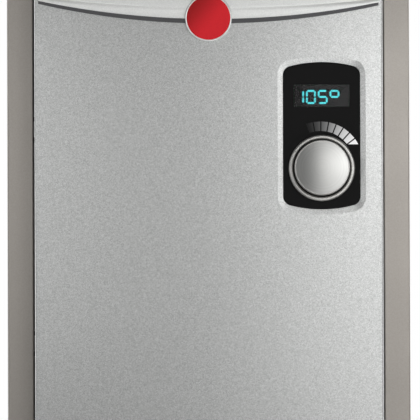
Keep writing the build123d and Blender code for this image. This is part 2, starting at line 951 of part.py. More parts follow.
def encoder_body():
    """Encoder housing on the board, with the bushing that carries the shaft."""
    half = encoder_width / 2
    body = block(
        knob_x - half, knob_x + half,
        encoder_front, display_board_front,
        knob_z - half, knob_z + half,
    )
    body += rod_y(knob_x, knob_z, bushing_front, encoder_front, bushing_radius)
    body -= rod_y(
        knob_x, knob_z,
        bushing_front - cut_overrun, display_board_front - encoder_floor,
        shaft_radius + running_gap,
    )
    chamber_end = slider_front - slider_chamber_gap
    chamber_rear = display_board_front - encoder_floor
    return body - rod_y(knob_x, knob_z, chamber_end, chamber_rear, slider_radius + slider_chamber_gap)


# Board behind the fascia
def display_screw_places():
    """Positions of the fascia's standoffs."""
    x = display_board_width / 2 - display_screw_inset
    z = display_board_height / 2 - display_screw_inset
    return [(panel_x + i * x, panel_z + j * z) for i in (-1, 1) for j in (-1, 1)]


def display_board():
    """Circuit board behind the fascia."""
    half_width = display_board_width / 2
    half_height = display_board_height / 2
    board = block(
        panel_x - half_width, panel_x + half_width,
        display_board_front, display_board_rear,
        panel_z - half_height, panel_z + half_height,
    )
    for x, z in display_screw_places():
        board -= rod_y(
            x, z,
            display_board_front - cut_overrun, display_board_rear + cut_overrun,
            small_screw_radius + seat_gap,
        )
    return board


def display_standoffs():
    """Tubular standoffs between the fascia and its board."""
    tubes = []
    for x, z in display_screw_places():
        tube = rod_y(x, z, recess_floor, display_board_front, display_standoff_radius)
        bore_start = recess_floor + small_screw_radius
        bore_end = display_board_front + cut_overrun
        tubes.append(tube - rod_y(x, z, bore_start, bore_end, small_screw_radius + seat_gap))
    return separate(tubes)


def display_screws():
    """Screws that hold the board on its standoffs, put in from behind."""
    screws = []
    for x, z in display_screw_places():
        shank_tip = recess_floor + small_screw_head_radius
        shank = rod_y(x, z, shank_tip, display_board_rear, small_screw_radius)
        head = rod_y(
            x, z, display_board_rear, display_board_rear + small_screw_head_height, small_screw_head_radius
        )
        screws.append(shank + head)
    return separate(screws)


def socket_place():
    """Middle of the harness socket on the board's rear, along X and Z."""
    x = panel_x - display_board_width / 2 + display_screw_inset + socket_width
    z = panel_z - display_board_height / 2 + socket_above_board_end
    return x, z


def display_socket():
    """Socket on the board's rear that the harness leaves from."""
    x, z = socket_place()
    return block(
        x - socket_width / 2, x + socket_width / 2,
        display_board_rear, display_board_rear + socket_depth,
        z - socket_height / 2, z + socket_height / 2,
    )


# Water circuit: chambers, pipes and fittings
def chamber(x, port_sides):
    """Copper vessel with a closed floor, a threaded boss on top and side ports."""
    body = rod_z(x, chamber_y, chamber_bottom, chamber_top, chamber_radius)
    bore_top = chamber_top - chamber_boss_height
    port_reach = chamber_radius + port_length
    for z, side in port_sides:
        near = min(x, x + side * port_reach)
        body += rod_x(chamber_y, z, near, near + port_reach, pipe_radius + port_wall)
    body -= rod_z(x, chamber_y, chamber_bottom + chamber_floor, bore_top, chamber_radius - chamber_wall)
    thread_hole = element_thread_radius + seat_gap
    body -= rod_z(x, chamber_y, bore_top - cut_overrun, chamber_top + cut_overrun, thread_hole)
    for z, side in port_sides:
        socket_floor = port_reach - pipe_socket_depth
        far = x + side * (port_reach + cut_overrun)
        body -= rod_x(chamber_y, z, min(x, far), max(x, far), pipe_radius - pipe_wall)
        seat = x + side * socket_floor
        body -= rod_x(chamber_y, z, min(seat, far), max(seat, far), pipe_radius + seat_gap)
    return body


def heating_chamber_right():
    """First vessel: cold water enters low on its right and leaves high on its left."""
    return chamber(chamber_right_x, ((port_low_z, 1), (port_high_z, -1)))


def heating_chamber_left():
    """Second vessel: water enters high on its right and leaves through its floor."""
    body = chamber(chamber_left_x, ((port_high_z, 1),))
    stub_bottom = chamber_bottom - port_length
    body += rod_z(chamber_left_x, chamber_y, stub_bottom, chamber_bottom, pipe_radius + port_wall)
    low = stub_bottom - cut_overrun
    body -= rod_z(chamber_left_x, chamber_y, low, chamber_bottom + chamber_floor, pipe_radius - pipe_wall)
    seat = stub_bottom + pipe_socket_depth
    return body - rod_z(chamber_left_x, chamber_y, low, seat, pipe_radius + seat_gap)


def crossover_pipe():
    """Short pipe between the two vessels' upper ports."""
    reach = chamber_radius + port_length - pipe_socket_depth
    start = chamber_left_x + reach
    end = chamber_right_x - reach
    pipe = rod_x(chamber_y, port_high_z, start, end, pipe_radius)
    bore = pipe_radius - pipe_wall
    return pipe - rod_x(chamber_y, port_high_z, start - cut_overrun, end + cut_overrun, bore)


def inlet_pipe():
    """Pipe from the flow sensor up and round into the right vessel's lower port."""
    start = (inlet_x, chamber_y, sensor_top - pipe_socket_depth)
    corner = (inlet_x, chamber_y, port_low_z)
    end = (chamber_right_x + chamber_radius + port_length - pipe_socket_depth, chamber_y, port_low_z)
    return pipe_along([start, corner, end], [inlet_bend_radius], pipe_radius, pipe_radius - pipe_wall)


def outlet_pipe():
    """Straight pipe from the left vessel's floor down into the outlet fitting."""
    low = union_top - pipe_socket_depth
    high = chamber_bottom - port_length + pipe_socket_depth
    pipe = rod_z(chamber_left_x, chamber_y, low, high, pipe_radius)
    bore = pipe_radius - pipe_wall
    return pipe - rod_z(chamber_left_x, chamber_y, low - cut_overrun, high + cut_overrun, bore)


def pipe_union(x):
    """Brass bulkhead fitting: socket, hexagonal collar, neck through the plate and outside thread."""
    socket_radius = pipe_radius + union_socket_wall
    body = rod_z(x, chamber_y, union_collar_top, union_top, socket_radius)
    body += hex_z(x, chamber_y, floor_top, union_collar_top, union_collar_width)
    body += rod_z(x, chamber_y, thread_top, floor_top, neck_radius)
    body += rod_z(x, chamber_y, thread_end, thread_top, thread_radius)
    body -= rod_z(x, chamber_y, thread_end - cut_overrun, union_top, union_bore_radius)
    seat = union_top - pipe_socket_depth
    return body - rod_z(x, chamber_y, seat, union_top + cut_overrun, pipe_radius + seat_gap)


def water_inlet_union():
    """Cold inlet fitting."""
    return pipe_union(inlet_x)


def water_outlet_union():
    """Hot outlet fitting."""
    return pipe_union(chamber_left_x)


def union_washers():
    """Rubber washers between the locknuts and the bottom plate."""
    rings = []
    for x in (chamber_left_x, inlet_x):
        ring = rod_z(x, chamber_y, locknut_top, floor_bottom, washer_radius)
        low = locknut_top - cut_overrun
        hole = rod_z(x, chamber_y, low, floor_bottom + cut_overrun, neck_radius + seat_gap)
        rings.append(ring - hole)
    return separate(rings)


def union_locknuts():
    """Locknuts that clamp the fittings to the bottom plate."""
    nuts = []
    for x in (chamber_left_x, inlet_x):
        nut = hex_z(x, chamber_y, thread_top, locknut_top, locknut_width)
        low = thread_top - cut_overrun
        hole = rod_z(x, chamber_y, low, locknut_top + cut_overrun, neck_radius + seat_gap)
        nuts.append(nut - hole)
    return separate(nuts)


def flow_sensor_body():
    """Flow sensor housing with a spider at each end that carries the rotor's pin."""
    body = rod_z(inlet_x, chamber_y, sensor_bottom, sensor_top, sensor_radius)
    seat_low = sensor_bottom + pipe_socket_depth
    seat_radius = pipe_radius + union_socket_wall + seat_gap
    body -= rod_z(inlet_x, chamber_y, sensor_bottom - cut_overrun, seat_low, seat_radius)
    bore_top = sensor_top - pipe_socket_depth
    body -= rod_z(inlet_x, chamber_y, sensor_bottom, bore_top, sensor_bore_radius)
    body -= rod_z(inlet_x, chamber_y, sensor_bottom, sensor_top + cut_overrun, pipe_radius + seat_gap)
    for low in spider_levels():
        high = low + sensor_spider_thickness
        half = sensor_spider_width / 2
        reach = sensor_bore_radius + sensor_spider_width / 2
        body += block(inlet_x - reach, inlet_x + reach, chamber_y - half, chamber_y + half, low, high)
        body += block(inlet_x - half, inlet_x + half, chamber_y - reach, chamber_y + reach, low, high)
        body += rod_z(inlet_x, chamber_y, low, high, rotor_hub_radius)
        body -= rod_z(
            inlet_x, chamber_y,
            low - cut_overrun / 2, high + cut_overrun / 2,
            rotor_pin_radius + shaft_seat_gap,
        )
    return body


def spider_levels():
    """Undersides of the two spiders, one below and one above the rotor."""
    middle = (sensor_bottom + sensor_top) / 2
    half = rotor_length / 2 + rotor_end_play
    return (middle - half - sensor_spider_thickness, middle + half)


def flow_rotor_pin():
    """Fixed pin that the flow rotor turns on."""
    low, high = spider_levels()
    return rod_z(inlet_x, chamber_y, low, high + sensor_spider_thickness, rotor_pin_radius)


def flow_rotor():
    """Vaned rotor that the water turns."""
    low, high = spider_levels()
    bottom = low + sensor_spider_thickness + rotor_end_play
    top = high - rotor_end_play
    rotor = rod_z(inlet_x, chamber_y, bottom, top, rotor_hub_radius)
    vane_half = rotor_vane_thickness / 2
    vane = block(0, rotor_radius, -vane_half, vane_half, bottom, top)
    turn = 360 / rotor_vane_count
    for index in range(rotor_vane_count):
        rotor += Pos(inlet_x, chamber_y, 0) * Rot(0, 0, index * turn) * vane
    return rotor - rod_z(
        inlet_x, chamber_y, bottom - cut_overrun, top + cut_overrun, rotor_pin_radius + running_gap
    )


def flow_sensor_pickup():
    """Pickup on the sensor's front that counts the rotor's turns."""
    middle = (sensor_bottom + sensor_top) / 2
    rear = chamber_y - sensor_radius + pickup_depth / 2
    pickup = block(
        inlet_x - pickup_width / 2, inlet_x + pickup_width / 2,
        chamber_y - sensor_radius - pickup_depth, rear,
        middle - pickup_height / 2, middle + pickup_height / 2,
    )
    return pickup - rod_z(
        inlet_x, chamber_y, sensor_bottom, sensor_top, sensor_radius + seat_gap
    )


# Heating elements and what they sit on
def heating_element(x):
    """Screw-in element: threaded plug, hexagon, looped rod below and two studs above."""
    plug_low = element_seat - element_gasket_thickness - element_thread_length
    body = rod_z(x, chamber_y, plug_low, element_seat, element_thread_radius)
    body += hex_z(x, chamber_y, element_seat, element_hex_top, element_hex_width)
    half = element_rod_spacing / 2
    low = chamber_bottom + chamber_floor + element_rod_end_gap
    points = [
        (x - half, chamber_y, plug_low), (x - half, chamber_y, low),
        (x + half, chamber_y, low), (x + half, chamber_y, plug_low),
    ]
    bend = half - element_loop_flat
    body += pipe_along(points, [bend, bend], element_rod_radius)
    for stud_x in (x - half, x + half):
        body += rod_z(stud_x, chamber_y, element_hex_top, element_stud_top, element_stud_radius)
    return body


def element_stud_places():
    """Positions of the elements' studs along X, from left to right."""
    half = element_rod_spacing / 2
    return [x + side * half for x in (chamber_left_x, chamber_right_x) for side in (-1, 1)]


def element_insulators():
    """Ceramic bushes round the studs."""
    top = element_hex_top + element_bush_height
    bushes = []
    for x in element_stud_places():
        bush = rod_z(x, chamber_y, element_hex_top, top, element_bush_radius)
        hole = rod_z(x, chamber_y, element_hex_top, top + cut_overrun, element_stud_radius + running_gap)
        bushes.append(bush - hole)
    return separate(bushes)


def heating_element_left():
    """Element of the left vessel."""
    return heating_element(chamber_left_x)


def heating_element_right():
    """Element of the right vessel."""
    return heating_element(chamber_right_x)


def element_gaskets():
    """Flat gaskets under the elements' hexagons."""
    rings = []
    for x in (chamber_left_x, chamber_right_x):
        ring = rod_z(x, chamber_y, chamber_top, element_seat, element_gasket_radius)
        hole = rod_z(
            x, chamber_y,
            chamber_top - cut_overrun, element_seat + cut_overrun,
            element_thread_radius + seat_gap,
        )
        rings.append(ring - hole)
    return separate(rings)


def saddle_levels():
    """Middles of the lower and the upper saddle."""
    return (saddle_low_z, saddle_high_z)


def strap_screw_places():
    """Positions of the strap screws along X: outside each vessel and between the two."""
    outer = chamber_radius + saddle_margin / 2
    between = (chamber_left_x + chamber_right_x) / 2
    return (chamber_left_x - outer, between, chamber_right_x + outer)


def chamber_saddles():
    """Moulded blocks on the back plate with a half-round seat for each vessel."""
    reach = chamber_radius + saddle_margin
    blocks = []
    for z in saddle_levels():
        low = z - saddle_height / 2
        high = z + saddle_height / 2
        body = block(chamber_left_x - reach, chamber_right_x + reach, chamber_y, back_front, low, high)
        for x in (chamber_left_x, chamber_right_x):
            body -= rod_z(x, chamber_y, low - cut_overrun, high + cut_overrun, chamber_radius + running_gap)
        for x in strap_screw_places():
            hole_end = chamber_y + strap_screw_reach + seat_gap
            body -= rod_y(x, z, chamber_y - cut_overrun, hole_end, strap_screw_radius + seat_gap)
        blocks.append(body)
    return separate(blocks)


def chamber_straps():
    """Steel straps over the vessels' fronts, screwed to the saddles."""
    reach = chamber_radius + saddle_margin
    straps = []
    for z in saddle_levels():
        low = z - strap_width / 2
        high = z + strap_width / 2
        front = chamber_y - strap_sheet
        strap = block(chamber_left_x - reach, chamber_right_x + reach, front, chamber_y, low, high)
        for x in (chamber_left_x, chamber_right_x):
            strap += rod_z(x, chamber_y, low, high, chamber_radius + strap_sheet)
        for x in (chamber_left_x, chamber_right_x):
            strap -= rod_z(x, chamber_y, low - cut_overrun, high + cut_overrun, chamber_radius + running_gap)
        behind = block(
            chamber_left_x - reach - cut_overrun, chamber_right_x + reach + cut_overrun,
            chamber_y, 0, low - cut_overrun, high + cut_overrun,
        )
        strap -= behind
        for x in strap_screw_places():
            strap -= rod_y(x, z, front - cut_overrun, chamber_y + cut_overrun, strap_screw_radius + seat_gap)
        straps.append(strap)
    return separate(straps)


def strap_screws():
    """Screws through the straps into the saddles."""
    seat = chamber_y - strap_sheet
    screws = []
    for z in saddle_levels():
        for x in strap_screw_places():
            shank = rod_y(x, z, seat, chamber_y + strap_screw_reach, strap_screw_radius)
            head = rod_y(x, z, seat - strap_screw_head_height, seat, strap_screw_head_radius)
            screws.append(shank + head)
    return separate(screws)


# Probes, cut-outs and the switching plate
def pipe_probe_z(x, z):
    """Temperature probe on a band round an upright pipe."""
    inner = pipe_radius + running_gap
    low = z - probe_band_width / 2
    high = z + probe_band_width / 2
    tip = chamber_y - inner - probe_band_wall - probe_length
    probe = rod_z(x, chamber_y, low, high, inner + probe_band_wall)
    probe += rod_y(x, z, tip, chamber_y, probe_radius)
    return probe - rod_z(x, chamber_y, low - cut_overrun, high + cut_overrun, inner)


def inlet_probe_z():
    """Height of the inlet probe, halfway up the pipe's straight run."""
    return (sensor_top + port_low_z - inlet_bend_radius) / 2


def outlet_probe_z():
    """Height of the outlet probe, halfway along the outlet pipe."""
    return (union_top + chamber_bottom - port_length) / 2


def limit_switch(x):
    """High-limit cut-out: saddled base and round body with a bore for the reset button."""
    half = limit_base_width / 2
    low = limit_z - half
    high = limit_z + half
    base_front = chamber_front - limit_base_depth
    base = block(x - half, x + half, base_front, chamber_front + limit_seat_depth, low, high)
    base -= rod_z(x, chamber_y, low - cut_overrun, high + cut_overrun, chamber_radius + running_gap)
    body_front = base_front - limit_body_height
    body = base + rod_y(x, limit_z, body_front, base_front, limit_body_radius)
    floor = body_front + button_seat_depth + button_travel + button_gap
    return body - rod_y(x, limit_z, body_front - cut_overrun, floor, button_radius + running_gap)


def reset_button(x):
    """Reset button in the middle of a cut-out."""
    body_front = chamber_front - limit_base_depth - limit_body_height
    button = rod_y(x, limit_z, body_front - button_proud, body_front + button_seat_depth, button_radius)
    front_circle = button.edges().filter_by(GeomType.CIRCLE).group_by(Axis.Y)[0]
    return fillet(front_circle, button_gap)


def triac_plate_limits():
    """Underside, top and front of the switching plate."""
    high = triac_plate_bottom + triac_plate_height
    front = chamber_front + triac_seat_depth - triac_plate_thickness
    return triac_plate_bottom, high, front


def triac_plate():
    """Aluminium plate with a curved back that cools the switches on the right vessel."""
    low, high, front = triac_plate_limits()
    half = triac_plate_width / 2
    x = chamber_right_x
    plate = block(x - half, x + half, front, front + triac_plate_thickness, low, high)
    return plate - rod_z(x, chamber_y, low - cut_overrun, high + cut_overrun, chamber_radius + running_gap)


def triac_levels():
    """Middles of the switches, from the lowest up."""
    low, high, _ = triac_plate_limits()
    first = (low + high) / 2 - triac_pitch * (triac_count - 1) / 2
    return [first + index * triac_pitch for index in range(triac_count)]


def triacs():
    """Power switches on the plate, one for each half of each element's supply."""
    front = triac_plate_limits()[2]
    half = triac_width / 2
    x = chamber_right_x
    bodies = [
        block(x - half, x + half, front - triac_thickness, front, z - triac_height / 2, z + triac_height / 2)
        for z in triac_levels()
    ]
    return separate(bodies)


# Control board on the back plate
def control_screw_places():
    """Positions of the control board's standoffs."""
    left = control_board_left + control_screw_inset
    right = control_board_right - control_screw_inset
    low = control_board_bottom + control_screw_inset
    high = control_board_top - control_screw_inset
    return [(x, z) for x in (left, right) for z in (low, high)]


def control_board():
    """Main circuit board."""
    board = block(
        control_board_left, control_board_right,
        control_board_front, control_board_rear,
        control_board_bottom, control_board_top,
    )
    for x, z in control_screw_places():
        low = control_board_front - cut_overrun
        high = control_board_rear + cut_overrun
        board -= rod_y(x, z, low, high, small_screw_radius + seat_gap)
    return board


def control_standoffs():
    """Tubular standoffs between the back plate and the main board."""
    tubes = []
    for x, z in control_screw_places():
        tube = rod_y(x, z, control_board_rear, back_front, control_standoff_radius)
        bore_end = back_front - small_screw_radius
        tubes.append(
            tube - rod_y(x, z, control_board_rear - cut_overrun, bore_end, small_screw_radius + seat_gap)
        )
    return separate(tubes)


def control_screws():
    """Screws that hold the main board."""
    screws = []
    for x, z in control_screw_places():
        tip = back_front - small_screw_head_radius
        shank = rod_y(x, z, control_board_front, tip, small_screw_radius)
        head = rod_y(
            x, z, control_board_front - small_screw_head_height, control_board_front, small_screw_head_radius
        )
        screws.append(shank + head)
    return separate(screws)


def header_place():
    """Middle of the display header on the main board, along X and Z."""
    return control_board_left + header_left_inset, control_board_bottom + header_up_inset


def board_header():
    """Open header that the display harness plugs into."""
    x, z = header_place()
    half_width = socket_width / 2
    half_height = socket_height / 2
    front = control_board_front - header_engagement - header_wall
    header = block(
        x - half_width, x + half_width,
        front, control_board_front,
        z - half_height, z + half_height,
    )
    inner_width = half_width - header_wall
    inner_height = half_height - header_wall
    return header - block(
        x - inner_width, x + inner_width,
        front - cut_overrun, control_board_front - header_wall,
        z - inner_height, z + inner_height,
    )


def gate_levels():
    """Heights at which the switches' leads meet their header, from the lowest up."""
    first = control_board_bottom + gate_header_up_inset + gate_header_margin
    return [first + index * gate_lead_pitch for index in range(triac_count)]


def gate_header():
    """Header near the board's left edge for the switches' leads."""
    levels = gate_levels()
    left = control_board_left + gate_header_left_inset
    return block(
        left, left + gate_header_width,
        control_board_front - gate_header_depth, control_board_front,
        levels[0] - gate_header_margin, levels[-1] + gate_header_margin,
    )


def sensor_lanes():
    """Places along X where the three sensor leads climb: flow, inlet, outlet."""
    first = control_board_left + sensor_header_left_inset + sensor_header_margin
    return [first + index * sensor_lead_pitch for index in range(sensor_lead_count)]


def sensor_header_level():
    """Height of the middle of the sensor header."""
    return control_board_bottom + sensor_header_up_inset + sensor_header_height / 2


def sensor_header():
    """Header at the board's lower edge for the sensor leads."""
    lanes = sensor_lanes()
    z = sensor_header_level()
    return block(
        lanes[0] - sensor_header_margin, lanes[-1] + sensor_header_margin,
        control_board_front - sensor_header_depth, control_board_front,
        z - sensor_header_height / 2, z + sensor_header_height / 2,
    )


def relays():
    """Row of relays along the board's top."""
    top = control_board_top - relay_from_top
    bodies = []
    for index in range(relay_count):
        left = control_board_left + relay_from_left + index * (relay_width + relay_spacing)
        bodies.append(
            block(
                left, left + relay_width,
                control_board_front - relay_depth, control_board_front,
                top - relay_height, top,
            )
        )
    return separate(bodies)


def capacitors():
    """Upright capacitors below the relays."""
    z = control_board_top - capacitor_from_top
    front = control_board_front - capacitor_length
    bodies = []
    for index in range(capacitor_count):
        x = control_board_left + capacitor_from_left + index * capacitor_spacing
        bodies.append(rod_y(x, z, front, control_board_front, capacitor_radius))
    return separate(bodies)


def board_transformer():
    """Small transformer that supplies the board."""
    left = control_board_left + transformer_from_left
    top = control_board_top - transformer_from_top
    return block(
        left, left + transformer_width,
        control_board_front - transformer_depth, control_board_front,
        top - transformer_height, top,
    )


def board_processor():
    """Flat processor in the middle of the board."""
    left = control_board_left + processor_from_left
    top = control_board_top - processor_from_top
    return block(
        left, left + processor_width,
        control_board_front - processor_thickness, control_board_front,
        top - processor_width, top,
    )


# Supply terminals and the earth lug
def terminal_places():
    """Middles of the terminal block's poles along X."""
    return [terminal_left + (index + 1 / 2) * terminal_pitch for index in range(terminal_count)]


def terminal_block():
    """Moulded terminal block with ribs between its poles."""
    body = block(
        terminal_left, terminal_left + terminal_width,
        terminal_front, back_front,
        terminal_bottom, terminal_top,
    )
    half_rib = terminal_rib_thickness / 2
    for index in range(terminal_count + 1):
        x = terminal_left + index * terminal_pitch
        low = max(x - half_rib, terminal_left)
        high = min(x + half_rib, terminal_left + terminal_width)
        rib_front = terminal_front - terminal_rib_depth
        body += block(low, high, rib_front, terminal_front, terminal_bottom, terminal_top)
    return body


def terminal_screws():
    """Clamping screws, one for the supply and one for the load of each pole."""
    rows = (terminal_bottom + terminal_screw_inset, terminal_top - terminal_screw_inset)
    screws = []
    for x in terminal_places():
        for z in rows:
            front = terminal_front - terminal_screw_height
            head = rod_y(x, z, front, terminal_front, terminal_screw_radius)
            slot_half = terminal_slot_width / 2
            reach = terminal_screw_radius + terminal_slot_width
            slot = block(
                x - reach, x + reach,
                front - terminal_slot_width, front + terminal_slot_depth,
                z - slot_half, z + slot_half,
            )
            screws.append(head - slot)
    return separate(screws)


def earth_lug_place():
    """Middle of the earth lug along X and Z."""
    return case_half - lug_from_side, floor_top + case_height * lug_from_end_share


def earth_lug():
    """Earth lug on the back plate: an upright cable bore and a hole for its screw."""
    x, z = earth_lug_place()
    half = lug_width / 2
    half_height = lug_height / 2
    front = back_front - lug_depth
    body = block(x - half, x + half, front, back_front, z - half_height, z + half_height)
    bore_y = back_front - lug_depth / 2
    low = z - lug_height / 2 - cut_overrun
    body -= rod_z(x, bore_y, low, z, lug_bore_radius)
    return body - rod_y(
        x, z - lug_height / 4, back_front - lug_depth - cut_overrun, bore_y, lug_screw_radius + seat_gap
    )


def earth_lug_screw():
    """Screw that clamps the earth wire in the lug."""
    x, z = earth_lug_place()
    level = z - lug_height / 4
    front = back_front - lug_depth
    tip = back_front - lug_depth / 2 - lug_bore_radius
    shank = rod_y(x, level, front, tip, lug_screw_radius)
    return shank + rod_y(x, level, front - lug_screw_head_height, front, lug_screw_head_radius)


# Leads inside the case
def bend_radii(points):
    """Radius of each corner: a share of its shorter run over the tangent of half the turn."""
    places = [Vector(*point) for point in points]
    radii = []
    for before, corner, after in zip(places, places[1:], places[2:]):
        arriving = corner - before
        leaving = after - corner
        turn = arriving.get_angle(leaving)
        half_turn = Vector(1, 0).rotate(Axis.Z, turn / 2)
        shorter = min(arriving.length, leaving.length)
        radii.append(lead_bend_share * shorter * half_turn.X / half_turn.Y)
    return radii


def lead(name, points, radius):
    """Round lead along its route; prints its radii and how its volume compares with its length."""
    radii = bend_radii(points)
    solid = pipe_along(points, radii, radius)
    length = FilletPolyline(*points, radius=radii).length
    ratio = solid.volume / (Circle(radius).area * length)
    rounded = [round(value, 1) for value in radii]
    print(name, "radii", rounded, "volume over section and length", round(ratio, 4))
    return solid


def power_leads():
    """Four leads from the terminal block up and over to the elements' studs."""
    leads = []
    studs = list(reversed(element_stud_places()))
    for index, pole_x in enumerate(terminal_places()):
        lane_x = power_lead_left_x + index * power_lead_pitch
        low = terminal_top + power_lead_low_rise + index * power_lead_pitch
        high = element_stud_top + power_lead_high_rise + index * power_lead_pitch
        points = [
            (pole_x, power_lead_y, terminal_top),
            (pole_x, power_lead_y, low),
            (lane_x, power_lead_y, low),
            (lane_x, power_lead_y, high),
            (studs[index], chamber_y, high),
            (studs[index], chamber_y, element_stud_top),
        ]
        leads.append(lead(f"power lead {index}", points, power_lead_radius))
    return separate(leads)


def gate_leads():
    """Thin leads from the switches to their header on the board."""
    front = triac_plate_limits()[2]
    y = front - triac_thickness / 2
    header_x = control_board_left + gate_header_left_inset + gate_header_width / 2
    header_front = control_board_front - gate_header_depth
    leads = []
    for index, (z, header_z) in enumerate(zip(triac_levels(), gate_levels())):
        lane_x = gate_lead_left_x + (triac_count - 1 - index) * gate_lead_pitch
        points = [
            (chamber_right_x + triac_width / 2, y, z),
            (lane_x, y, z),
            (lane_x, y, header_z),
            (header_x, y, header_z),
            (header_x, header_front, header_z),
        ]
        leads.append(lead(f"gate lead {index}", points, gate_lead_radius))
    return separate(leads)


def sensor_leads():
    """Leads from the flow pickup and the two probes to the sensor header."""
    flow_x, inlet_lane, outlet_lane = sensor_lanes()
    header_z = sensor_header_level()
    header_front = control_board_front - sensor_header_depth
    pickup_y = chamber_y - sensor_radius - pickup_depth / 2
    pickup_z = (sensor_bottom + sensor_top) / 2
    flow_points = [
        (inlet_x + pickup_width / 2, pickup_y, pickup_z),
        (flow_x, pickup_y, pickup_z),
        (flow_x, pickup_y, header_z),
        (flow_x, header_front, header_z),
    ]
    leads = [lead("flow sensor lead", flow_points, sensor_lead_radius)]
    tip = chamber_y - pipe_radius - running_gap - probe_band_wall - probe_length
    away = tip - sensor_lead_rise
    probes = (
        ("inlet probe lead", inlet_x, inlet_probe_z(), inlet_lane),
        ("outlet probe lead", chamber_left_x, outlet_probe_z(), outlet_lane),
    )
    for name, x, z, lane_x in probes:
        points = [
            (x, tip, z), (x, away, z), (lane_x, away, z),
            (lane_x, away, header_z), (lane_x, header_front, header_z),
        ]
        leads.append(lead(name, points, sensor_lead_radius))
    return separate(leads)


def plug_front():
    """Where the harness plug's shoulder meets the header's rim."""
    return control_board_front - header_engagement - header_wall - seat_gap


def harness_plug():
    """Plug on the display harness, whose tongue stands in the header on the main board."""
    x, z = header_place()
    shoulder = plug_front()
    plug = block(
        x - plug_width / 2, x + plug_width / 2,
        shoulder - plug_length, shoulder,
        z - plug_height / 2, z + plug_height / 2,
    )
    tongue_width = socket_width / 2 - header_wall - header_fit_gap
    tongue_height = socket_height / 2 - header_wall - header_fit_gap
    tongue_tip = control_board_front - header_wall - header_fit_gap
    return plug + block(
        x - tongue_width, x + tongue_width, shoulder, tongue_tip, z - tongue_height, z + tongue_height
    )


def display_harness():
    """Cable from the display board's socket back to the plug; it comes away with the cover."""
    socket_x, socket_z = socket_place()
    plug_x, plug_z = header_place()
    points = [
        (socket_x, display_board_rear + socket_depth, socket_z),
        (socket_x, harness_level_y, socket_z),
        (plug_x, harness_level_y, plug_z),
        (plug_x, plug_front() - plug_length, plug_z),
    ]
    return lead("display harness", points, harness_radius)


def display_fixings():
    """Standoffs and screws of the board behind the fascia."""
    return separate([display_standoffs(), display_screws()])


def seal_rings():
    """Gaskets under the elements and washers under the locknuts."""
    return separate([element_gaskets(), union_washers()])


def chassis_fasteners():
    """Strap screws, the main board's standoffs and screws, and the earth lug's screw."""
    return separate([strap_screws(), control_standoffs(), control_screws(), earth_lug_screw()])


def pipe_thermistors():
    """Probes on the inlet pipe and on the outlet pipe."""
    inlet = pipe_probe_z(inlet_x, inlet_probe_z())
    outlet = pipe_probe_z(chamber_left_x, outlet_probe_z())
    return separate([inlet, outlet])


def limit_switches():
    """High-limit cut-outs of both vessels."""
    return separate([limit_switch(chamber_left_x), limit_switch(chamber_right_x)])


def board_headers():
    """Headers on the main board for the display, the switches and the sensors."""
    return separate([board_header(), gate_header(), sensor_header()])


def board_components():
    """Relays, capacitors, transformer and processor of the main board."""
    return separate([relays(), capacitors(), board_transformer(), board_processor()])


def signal_leads():
    """Thin leads of the switches and the sensors."""
    return separate([gate_leads(), sensor_leads()])


def left_side_rail():
    """Rail beside the cover's left edge."""
    return side_rail(-1)


def right_side_rail():
    """Rail beside the cover's right edge."""
    return side_rail(1)


def reset_button_left():
    """Reset button of the left cut-out."""
    return reset_button(chamber_left_x)


def reset_button_right():
    """Reset button of the right cut-out."""
    return reset_button(chamber_right_x)


chassis_pieces = (
    back_plate, left_side_rail, right_side_rail, top_plate, bottom_plate, cover_screws,
)
cover_pieces = (
    front_cover, header_plate, accent_strip, badge_rim, badge_disc,
    control_fascia, scale_segments, knob_ring,
    display_window, display_digits, display_module, display_board, display_fixings,
    display_socket, display_harness, harness_plug, encoder_body,
)
knob_pieces = (
    push_switch_slider, encoder_shaft, temperature_knob, knob_cap,
)
water_pieces = (
    heating_chamber_left, heating_chamber_right, crossover_pipe, inlet_pipe, outlet_pipe,
    water_inlet_union, water_outlet_union, union_locknuts, seal_rings,
    chamber_saddles, chamber_straps, chassis_fasteners,
    flow_sensor_body, flow_rotor_pin, flow_rotor, flow_sensor_pickup, pipe_thermistors,
)
electric_pieces = (
    heating_element_left, heating_element_right, element_insulators,
    limit_switches, reset_button_left, reset_button_right, triac_plate, triacs,
    control_board, board_headers, board_components,
    terminal_block, terminal_screws, earth_lug, power_leads, signal_leads,
)

os.makedirs("parts", exist_ok=True)
for make_piece in chassis_pieces + cover_pieces + knob_pieces + water_pieces + electric_pieces:
    export_step(make_piece(), f"parts/{make_piece.__name__}.step")
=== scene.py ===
"""Looks of a wall-hung electric tankless water heater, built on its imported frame.

Lengths are metres in the frame's own coordinates: the wall is y = 0, the front faces -Y, +Z is up.
Each sub-assembly is a class that dresses its CAD nodes and builds the pieces that need more shape
than the frame gives them. Each finish is a small class that makes one material.
"""
import logging
import math
from dataclasses import dataclass, field
from enum import Enum

import bmesh
import bpy
from mathutils import Matrix, Vector


